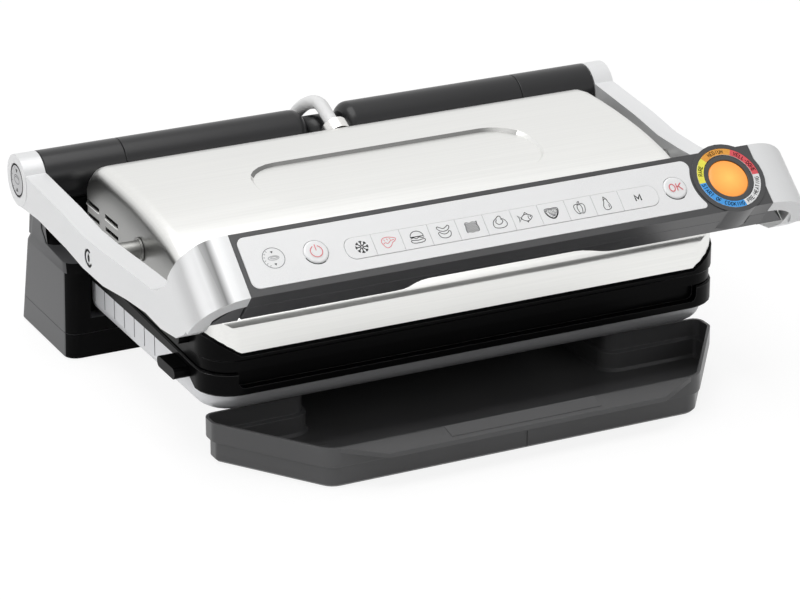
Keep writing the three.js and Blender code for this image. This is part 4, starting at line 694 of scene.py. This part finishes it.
# fascia, buttons and keys
# The fascia is a cool white moulding with a printed film; power and OK are round caps.
# The eleven keys show as thin lines round their signs, which are printed on the film.
fascia_edge = 0.0004
cool_white = moulded("white_plastic", (0.91, 0.912, 0.916), 0.28, 0.5, grain_size=0.0005, depth=0.000004,
                     mottle=0.01)
panel_foot = Vector((0, -0.1912, 0.1554))
panel_tilt = math.radians(40)
panel_up = Vector((0, math.cos(panel_tilt), math.sin(panel_tilt)))
panel_out = Vector((0, -math.sin(panel_tilt), math.cos(panel_tilt)))
bodied("fascia_plate", "panel_fascia", fascia_edge, cool_white)
for node in ("power_button", "ok_button"):
    bodied(node + "_cap", node, fascia_edge, cool_white)


def on_panel(x, s, rise):
    """Puts sign points round x, s on the panel, rise over its face, all in millimetres."""
    def lay(across, up):
        along = Vector((x + across, 0, 0))
        return panel_foot + along / 1000 + panel_up * (s + up) / 1000 + panel_out * rise / 1000
    return lay


def flowing(spots, closed=True, steps=4):
    """A smooth line through a few spots."""
    ring = [Vector(spot) for spot in spots]
    count = len(ring)
    line = []
    for i in range(count if closed else count - 1):
        before = ring[i - 1] if closed or i else ring[0]
        here = ring[i]
        after = ring[(i + 1) % count]
        beyond = ring[(i + 2) % count] if closed or i < count - 2 else ring[-1]
        for step in range(steps):
            t = step / steps
            bend = 2 * before - 5 * here + 4 * after - beyond
            twist = 3 * here - before - 3 * after + beyond
            line.append(here + ((after - before) * t + bend * t * t + twist * t ** 3) / 2)
    line.append(ring[0] if closed else ring[-1])
    return line


frost = []
for angle in range(0, 360, 45):
    way = Vector((math.cos(math.radians(angle)), math.sin(math.radians(angle))))
    side = Vector((-way.y, way.x))
    frost.append([way * 0.6, way * 4.9])
    frost.append([way * 4.6 + side * 1.1, way * 3.4, way * 4.6 - side * 1.1])
steak = [
    flowing([(-5.4, 0.8), (-3.8, 3.5), (0, 4), (3.4, 3.2), (5.6, 2.2), (4.6, 0.4), (2.4, -0.8), (0.6, -3.2),
             (-2.2, -4.2), (-4, -2.8)]),
    flowing([(-4.4, -0.8), (-2.8, 0), (-1, -0.8), (1.6, 1), (4.4, 1.4)], False),
    [(-3.4, 2.6), (-2.6, 1.2)], [(-1.2, 3), (-0.4, 1.6)], [(1, 3), (1.8, 1.8)],
]
burger = [
    [(-5, 0.4)] + bow(0, 0.4, 5, 4.4, 180, 0) + [(-5, 0.4)],
    flowing([(-5.2, -0.8), (-3, -0.1), (-1, -1.1), (1.6, -0.2), (3.6, -1), (5.2, -0.6)], False),
    flowing([(-5, -2), (0, -2.5), (5, -2), (4.4, -4), (0, -4.6), (-4.4, -4)]),
]
sausages = [
    flowing([(-4.8, 3.8), (-4, 5), (-2.6, 4.2), (0, 3), (2.6, 4.2), (4, 5), (4.8, 3.8), (3, 1.6), (0, 0.8),
             (-3, 1.6)]),
    flowing([(-4.8, -0.4), (-3.6, 0.6), (-2.4, -0.6), (0, -1.4), (2.4, -0.6), (3.6, 0.6), (4.8, -0.4),
             (3.6, -3.4), (0, -4.6), (-3.6, -3.4)]),
]
bacon = [
    flowing([(-4.8, y), (-3, y + 0.9), (-0.8, y - 0.2), (1.4, y + 0.8), (3.4, y + 0.2), (4.8, y + 1)], False)
    for y in (3.4, 2.2, 1, -0.2, -1.4, -2.6, -3.8)
] + [[(-4.8, 3.4), (-4.2, 1.4), (-5, -0.8), (-4.6, -3.8)], [(4.8, 4.4), (4.2, 2), (5, -0.4), (4.8, -2.8)]]
chicken = [
    flowing([(-5.3, -1.8), (-4.4, 1.4), (-1.8, 3.4), (0.2, 4.9), (1.8, 4.6), (2.2, 2.8), (4.2, 1.6),
             (5.4, -1.4), (3.8, -3.8), (0, -4.5), (-4, -3.8)]),
    flowing([(-1.6, 2.6), (-2.8, 0.4), (-1.4, -1.4), (1, -1.2), (2.8, 0.8), (1.6, 2.6)], False),
]
fish = [
    flowing([(-3.2, 0), (-0.8, 2.3), (2.2, 2.5), (5.4, 0.4), (2.2, -2.5), (-0.8, -2.3)]),
    [(-3.2, 0), (-5.8, 2.6), (-4.8, 0), (-5.6, -2.8), (-3.2, 0)],
    bow(3.4, 0, 1.2, 2, 130, 230, 6), bow(4, 0.6, 0.3, 0.3, 0, 360, 6),
    [(-0.6, 2.5), (0.8, 4.3), (2.4, 2.5)], [(0, -2.4), (0.8, -3.8), (1.8, -2.5)],
]
slice_edge = [(-5.2, 3.2), (-2.8, 3.9), (0, 3.7), (2.8, 3.9), (5.2, 3.2), (4.8, 0), (2.6, -3.2), (0, -4.6),
              (-2.8, -3.2), (-4.9, -0.2)]
toast = [flowing(slice_edge), flowing([(0.86 * x, 0.82 * y - 0.2) for x, y in slice_edge])] + [
    [(x, y), (x + 0.7, y + 0.35)]
    for y, reach in ((1.8, 4), (0.7, 3.4), (-0.4, 2.8), (-1.5, 2), (-2.6, 1))
    for x in (reach * (step / 3 - 1) for step in range(7))
]
pepper = [
    flowing([(0, 2.6), (2, 3.4), (4.1, 2), (3.8, -1.8), (2, -4.4), (0, -4), (-2, -4.4), (-3.8, -1.8),
             (-4.1, 2), (-2, 3.4)]),
    flowing([(-1, 2.8), (-1.8, 0), (-1, -3.9)], False), flowing([(1.2, 2.8), (2, 0), (1.2, -3.9)], False),
    flowing([(-0.5, 2.8), (-0.3, 4.6), (1, 5.3), (0.6, 3)], False),
]
aubergine = [
    flowing([(-0.8, 3.4), (-1.6, 1), (-2.8, -1.8), (-2.2, -4.4), (0.2, -5.2), (2.6, -4), (2.6, -1.6),
             (1.6, 1.2), (1, 3.2)]),
    flowing([(-1.6, 2.2), (-1, 4), (-0.6, 5.4), (0.4, 4.2), (1.7, 2.4)], False), [(1.4, -1.2), (1.4, -3.6)],
]
letter_m = [[(-2.1, -2.5), (-2.1, 2.3), (0, -0.9), (2.1, 2.3), (2.1, -2.5)]]
key_edge = 0.0001
key_middle = 23.1
key_print_rise = 0.36
thin_line = 0.5
key_lines = {"letter_m": 1.0, "frost": 0.7}
pink_ink = moulded("pink_ink", (0.80, 0.20, 0.22), 0.5, 0.2, grain_size=0.0004, depth=0.000004)
key_signs = [
    ("frost", frost, -114.9, dark_ink_and_painted_shadow),
    ("steak", steak, -94.1, pink_ink),
    ("burger", burger, -72.5, dark_ink_and_painted_shadow),
    ("sausages", sausages, -51.2, dark_ink_and_painted_shadow),
    ("bacon", bacon, -29.7, dark_ink_and_painted_shadow),
    ("chicken", chicken, -8, dark_ink_and_painted_shadow),
    ("fish", fish, 12.5, dark_ink_and_painted_shadow),
    ("toast", toast, 33.8, dark_ink_and_painted_shadow),
    ("pepper", pepper, 55.8, dark_ink_and_painted_shadow),
    ("aubergine", aubergine, 77.3, dark_ink_and_painted_shadow),
    ("letter_m", letter_m, 103.1, dark_ink_and_painted_shadow),
]
for number, (name, lines, x, ink) in enumerate(key_signs, 1):
    node = f"program_key_{number:02d}"
    bodied(node + "_film", node, key_edge, cool_white)
    on_key = on_panel(x, key_middle, key_print_rise)
    printed("sign_" + name, lines, key_lines.get(name, thin_line), on_key, ink, nodes[node]["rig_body"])
button_middle = 25.6
button_print_rise = 0.06
film_rise = 0.05
painted_shadow_line = 0.6
# Painted shadow: a dark arc on the film round the lower left of each button, where its raised cap shades the
# film.
button_painted_shadow = bow(0, 0, 9.35, 9.35, 200, 300, 20)
power_sign = [bow(0, 0, 4.4, 4.4, 112, 428, 30), [(0, 5.4), (0, 0.6)]]
letter_o = bow(-2.7, 0, 2.2, 2.9, 0, 360, 24)
letter_k = [[(1, 2.9), (1, -2.9)], [(5, 2.9), (1.2, -0.3)], [(2.4, 0.6), (5, -2.9)]]
for name, x, lines, width in (
        ("power", -148.6, power_sign, 0.6),
        ("ok", 134.8, [letter_o] + letter_k, 0.85)):
    node = name + "_button"
    top = max((vertex.co - panel_foot).dot(panel_out) for vertex in nodes[node].data.vertices) * 1000
    printed("sign_" + name, lines, width, on_panel(x, button_middle, top + button_print_rise), pink_ink,
            nodes[node]["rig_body"])
    printed(name + "_shadow", [button_painted_shadow], painted_shadow_line, on_panel(x, button_middle, film_rise), dark_ink_and_painted_shadow,
            "handle")
on_sensor = on_panel(-180, 26.8, film_rise)
sensor_line = 0.42
sensor_ring = [bow(0, 0, 8, 8, 0, 360, 48)]
for angle in range(125, 236, 22):
    way = Vector((math.cos(math.radians(angle)), math.sin(math.radians(angle))))
    sensor_ring.append([way * 6.2, way * 7.3])
sensor_arrow_line = 0.7
sensor_arrows = [[(-0.5, foot), (0, foot - 0.8), (0.5, foot), (-0.5, foot)] for foot in (5, -4.6)]
sensor_sign_line = 0.6
sensor_sign = [bow(0, 0, 4, 1.6, 0, 360, 20), bow(0.4, 0.2, 2.6, 0.7, 0, 360, 16)]
pale_ink = moulded("pale_ink", (0.50, 0.50, 0.51), 0.5, 0.2, grain_size=0.0004, depth=0.000004)
printed("sensor_ring", sensor_ring, sensor_line, on_sensor, grey_ink, "handle")
printed("sensor_marks", sensor_arrows, sensor_arrow_line, on_sensor, dark_ink_and_painted_shadow, "handle")
printed("sensor_sign", sensor_sign, sensor_sign_line, on_sensor, pale_ink, "handle")

# indicator
# A ring printed in five colours lies round a black cone, and the domed lens inside the cone glows orange.
# The words for the stages of cooking follow the ring.
dial = Vector((179.5, 25.8))
ring_radii = (19.45, 24.6)
ring_edge = 0.0001
bodied("indicator_ring", "colour_ring", ring_edge, cool_white)
cone_profile = [(19.15, 0.4), (18.8, 0.3), (15.7, -0.9), (15.6, -3), (17, -3), (19.15, -1)]
cone_sides = 72
cone_points = []
cone_faces = []
for side in range(cone_sides):
    turn = 2 * math.pi * side / cone_sides
    here = side * len(cone_profile)
    there = (side + 1) % cone_sides * len(cone_profile)
    for i, (radius, rise) in enumerate(cone_profile):
        j = (i + 1) % len(cone_profile)
        cone_points.append(on_panel(*dial, rise)(radius * math.cos(turn), radius * math.sin(turn)))
        cone_faces.append((here + i, here + j, there + j, there + i))
cone_black = moulded("cone_plastic", (0.012, 0.012, 0.014), 0.3, 0.4, grain_size=0.0005, depth=0.000006)
cone = sheet("indicator_cone", cone_points, cone_faces, cone_black)
for face in cone.data.polygons:
    face.use_smooth = True
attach(cone, "handle")
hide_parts("dial_bezel")
lens_edge = 0.0003
lens_reach = 0.0168
lens_rise = 0.9
lens_light = 0.82
lens_grain = 300
lens_ripple = 0.12
rim_orange = (0.93, 0.30, 0.045)
middle_orange = (0.95, 0.60, 0.13)
lens_centre = on_panel(*dial, lens_rise)(0, 0)
orange = Paint("orange_lens", (0.35, 0.12, 0.02), 0.3)
spot = orange.node("ShaderNodeTexCoord", {}, {}, "Object")
round_spot = orange.node("ShaderNodeMapping", {}, {
    "Vector": spot, "Location": tuple(-c / lens_reach for c in lens_centre), "Scale": (1 / lens_reach,) * 3})
ball = orange.node("ShaderNodeTexGradient", {"gradient_type": "SPHERICAL"}, {0: round_spot}, 1)
glow_share = ball + lens_ripple * orange.grain(lens_grain, 2) - lens_ripple / 2
orange.feed("Emission Color", orange.mix(glow_share, rim_orange, middle_orange))
orange.surface.inputs["Emission Strength"].default_value = lens_light
bodied("indicator_lens", "dial_lens", lens_edge, orange)
sector_rise = 0.85
sector_turn = 3


def sector(name, start, end, colour):
    """A coloured stretch of the ring, from start to end in degrees."""
    steps = round((end - start) / sector_turn)
    inner = bow(0, 0, ring_radii[0], ring_radii[0], start, end, steps)
    outer = bow(0, 0, ring_radii[1], ring_radii[1], start, end, steps)
    lay = on_panel(*dial, sector_rise)
    tint = moulded(name + "_ink", colour, 0.35, 0.4, grain_size=0.0004, depth=0.000004, mottle=0.03)
    faces = [(i, steps + 1 + i, steps + 2 + i, i + 1) for i in range(steps)]
    piece = sheet(name, [lay(*spot) for spot in inner + outer], faces, tint)
    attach(piece, "handle")


letter_lines = {
    "A": [[(0, 0), (0.5, 1), (1, 0)], [(0.2, 0.35), (0.8, 0.35)]],
    "C": [[(1, 0.15), (0.7, 0), (0.3, 0), (0, 0.3), (0, 0.7), (0.3, 1), (0.7, 1), (1, 0.85)]],
    "D": [[(0, 0), (0, 1), (0.6, 1), (1, 0.7), (1, 0.3), (0.6, 0), (0, 0)]],
    "E": [[(1, 0), (0, 0), (0, 1), (1, 1)], [(0, 0.5), (0.8, 0.5)]],
    "F": [[(0, 0), (0, 1), (1, 1)], [(0, 0.5), (0.8, 0.5)]],
    "G": [[(1, 0.85), (0.7, 1), (0.3, 1), (0, 0.7), (0, 0.3), (0.3, 0), (0.7, 0), (1, 0.25), (1, 0.5),
           (0.6, 0.5)]],
    "H": [[(0, 0), (0, 1)], [(1, 0), (1, 1)], [(0, 0.5), (1, 0.5)]],
    "I": [[(0.5, 0), (0.5, 1)]],
    "K": [[(0, 0), (0, 1)], [(1, 1), (0, 0.4)], [(0.3, 0.6), (1, 0)]],
    "L": [[(0, 1), (0, 0), (1, 0)]],
    "M": [[(0, 0), (0, 1), (0.5, 0.3), (1, 1), (1, 0)]],
    "N": [[(0, 0), (0, 1), (1, 0), (1, 1)]],
    "O": [[(0, 0.3), (0, 0.7), (0.3, 1), (0.7, 1), (1, 0.7), (1, 0.3), (0.7, 0), (0.3, 0), (0, 0.3)]],
    "P": [[(0, 0), (0, 1), (0.8, 1), (1, 0.75), (0.8, 0.45), (0, 0.45)]],
    "R": [[(0, 0), (0, 1), (0.8, 1), (1, 0.75), (0.8, 0.45), (0, 0.45)], [(0.5, 0.45), (1, 0)]],
    "S": [[(0, 0.1), (0.3, 0), (0.8, 0), (1, 0.25), (0.8, 0.5), (0.2, 0.5), (0, 0.75), (0.2, 1), (0.7, 1),
           (1, 0.9)]],
    "T": [[(0, 1), (1, 1)], [(0.5, 1), (0.5, 0)]],
    "U": [[(0, 1), (0, 0.3), (0.3, 0), (0.7, 0), (1, 0.3), (1, 1)]],
    "W": [[(0, 1), (0.25, 0), (0.5, 0.7), (0.75, 0), (1, 1)]],
    "-": [[(0.2, 0.5), (0.8, 0.5)]],
    " ": [],
}
letter_width = 1.5
letter_height = 2.8
letter_pitch = 2.3
word_line = 0.5
word_rise = 0.9


def along_ring(word, middle, outwards):
    """Lines of a word round the ring about its middle in degrees; its tops point outwards or inwards."""
    lines = []
    ring_middle = sum(ring_radii) / 2
    foot = ring_middle - outwards * letter_height / 2
    for i, letter in enumerate(word):
        start = (i - (len(word) - 1) / 2) * letter_pitch - letter_width / 2
        for line in letter_lines[letter]:
            bent = []
            for x, y in line:
                radius = foot + outwards * y * letter_height
                turn = math.radians(middle) - outwards * (start + x * letter_width) / ring_middle
                bent.append((radius * math.cos(turn), radius * math.sin(turn)))
            lines.append(bent)
    return lines


stages = [
    ("rare", "RARE", 128.8, 182.1, (0.93, 0.87, 0.10), 1),
    ("medium", "MEDIUM", 64.9, 128.8, (0.87, 0.39, 0.06), 1),
    ("well_done", "WELL-DONE", -2, 64.9, (0.78, 0.10, 0.12), 1),
    ("pre_heating", "PRE-HEATING", -78.1, -2, (0.85, 0.855, 0.86), -1),
    ("start_of_cooking", "START OF COOKING", -177.9, -78.1, (0.07, 0.37, 0.85), -1),
]
on_ring = on_panel(*dial, word_rise)
for name, word, start, end, colour, outwards in stages:
    sector("stage_" + name, start, end, colour)
    lines = along_ring(word, (start + end) / 2, outwards)
    printed("words_" + name, lines, word_line, on_ring, dark_ink_and_painted_shadow, "handle")

# drip tray
# The tray is one graphite moulding with a stepped rim band and a lip to pull it by.
tray_edge = 0.0008
tray_grey = moulded("tray_plastic", (0.088, 0.088, 0.09), 0.36, 0.4)
bodied("tray_moulding", "drip_tray", tray_edge, tray_grey)

# wiring sleeve
# A pale glass-fibre sleeve leads the wires over the hinge, from the housing to the gland on the lid.
# It is cut in two at a joint along it, into a rear length and a front length.
sleeving = moulded("pale_sleeving", (0.78, 0.78, 0.78), 0.6, 0.4, grain_size=0.0009, depth=0.00006)
sleeve_root = Vector((-0.012, 0.168, 0.14))
sleeve_mouth = Vector((-0.005, 0.116, 0.155))
rear_share = 0.75
sleeve_joint = sleeve_root.lerp(sleeve_mouth, rear_share)
for name, behind, ahead, start, end in (
        ("sleeve_rear", "base", "handle", sleeve_root, sleeve_joint),
        ("sleeve_front", "handle", "lid", sleeve_joint, sleeve_mouth)):
    sleeve = bodied(name, "wiring_sleeve", 0, sleeving, round_turn, still=False)
    rear = behind == "base"
    shape = bmesh.new()
    shape.from_mesh(sleeve.data)
    whole = shape.verts[:] + shape.edges[:] + shape.faces[:]
    bmesh.ops.bisect_plane(shape, geom=whole, plane_co=sleeve_joint, plane_no=sleeve_root - sleeve_mouth,
                           clear_inner=rear, clear_outer=not rear)
    shape.to_mesh(sleeve.data)
    shape.free()
    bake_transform(sleeve)
    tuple(start)
    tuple(end)
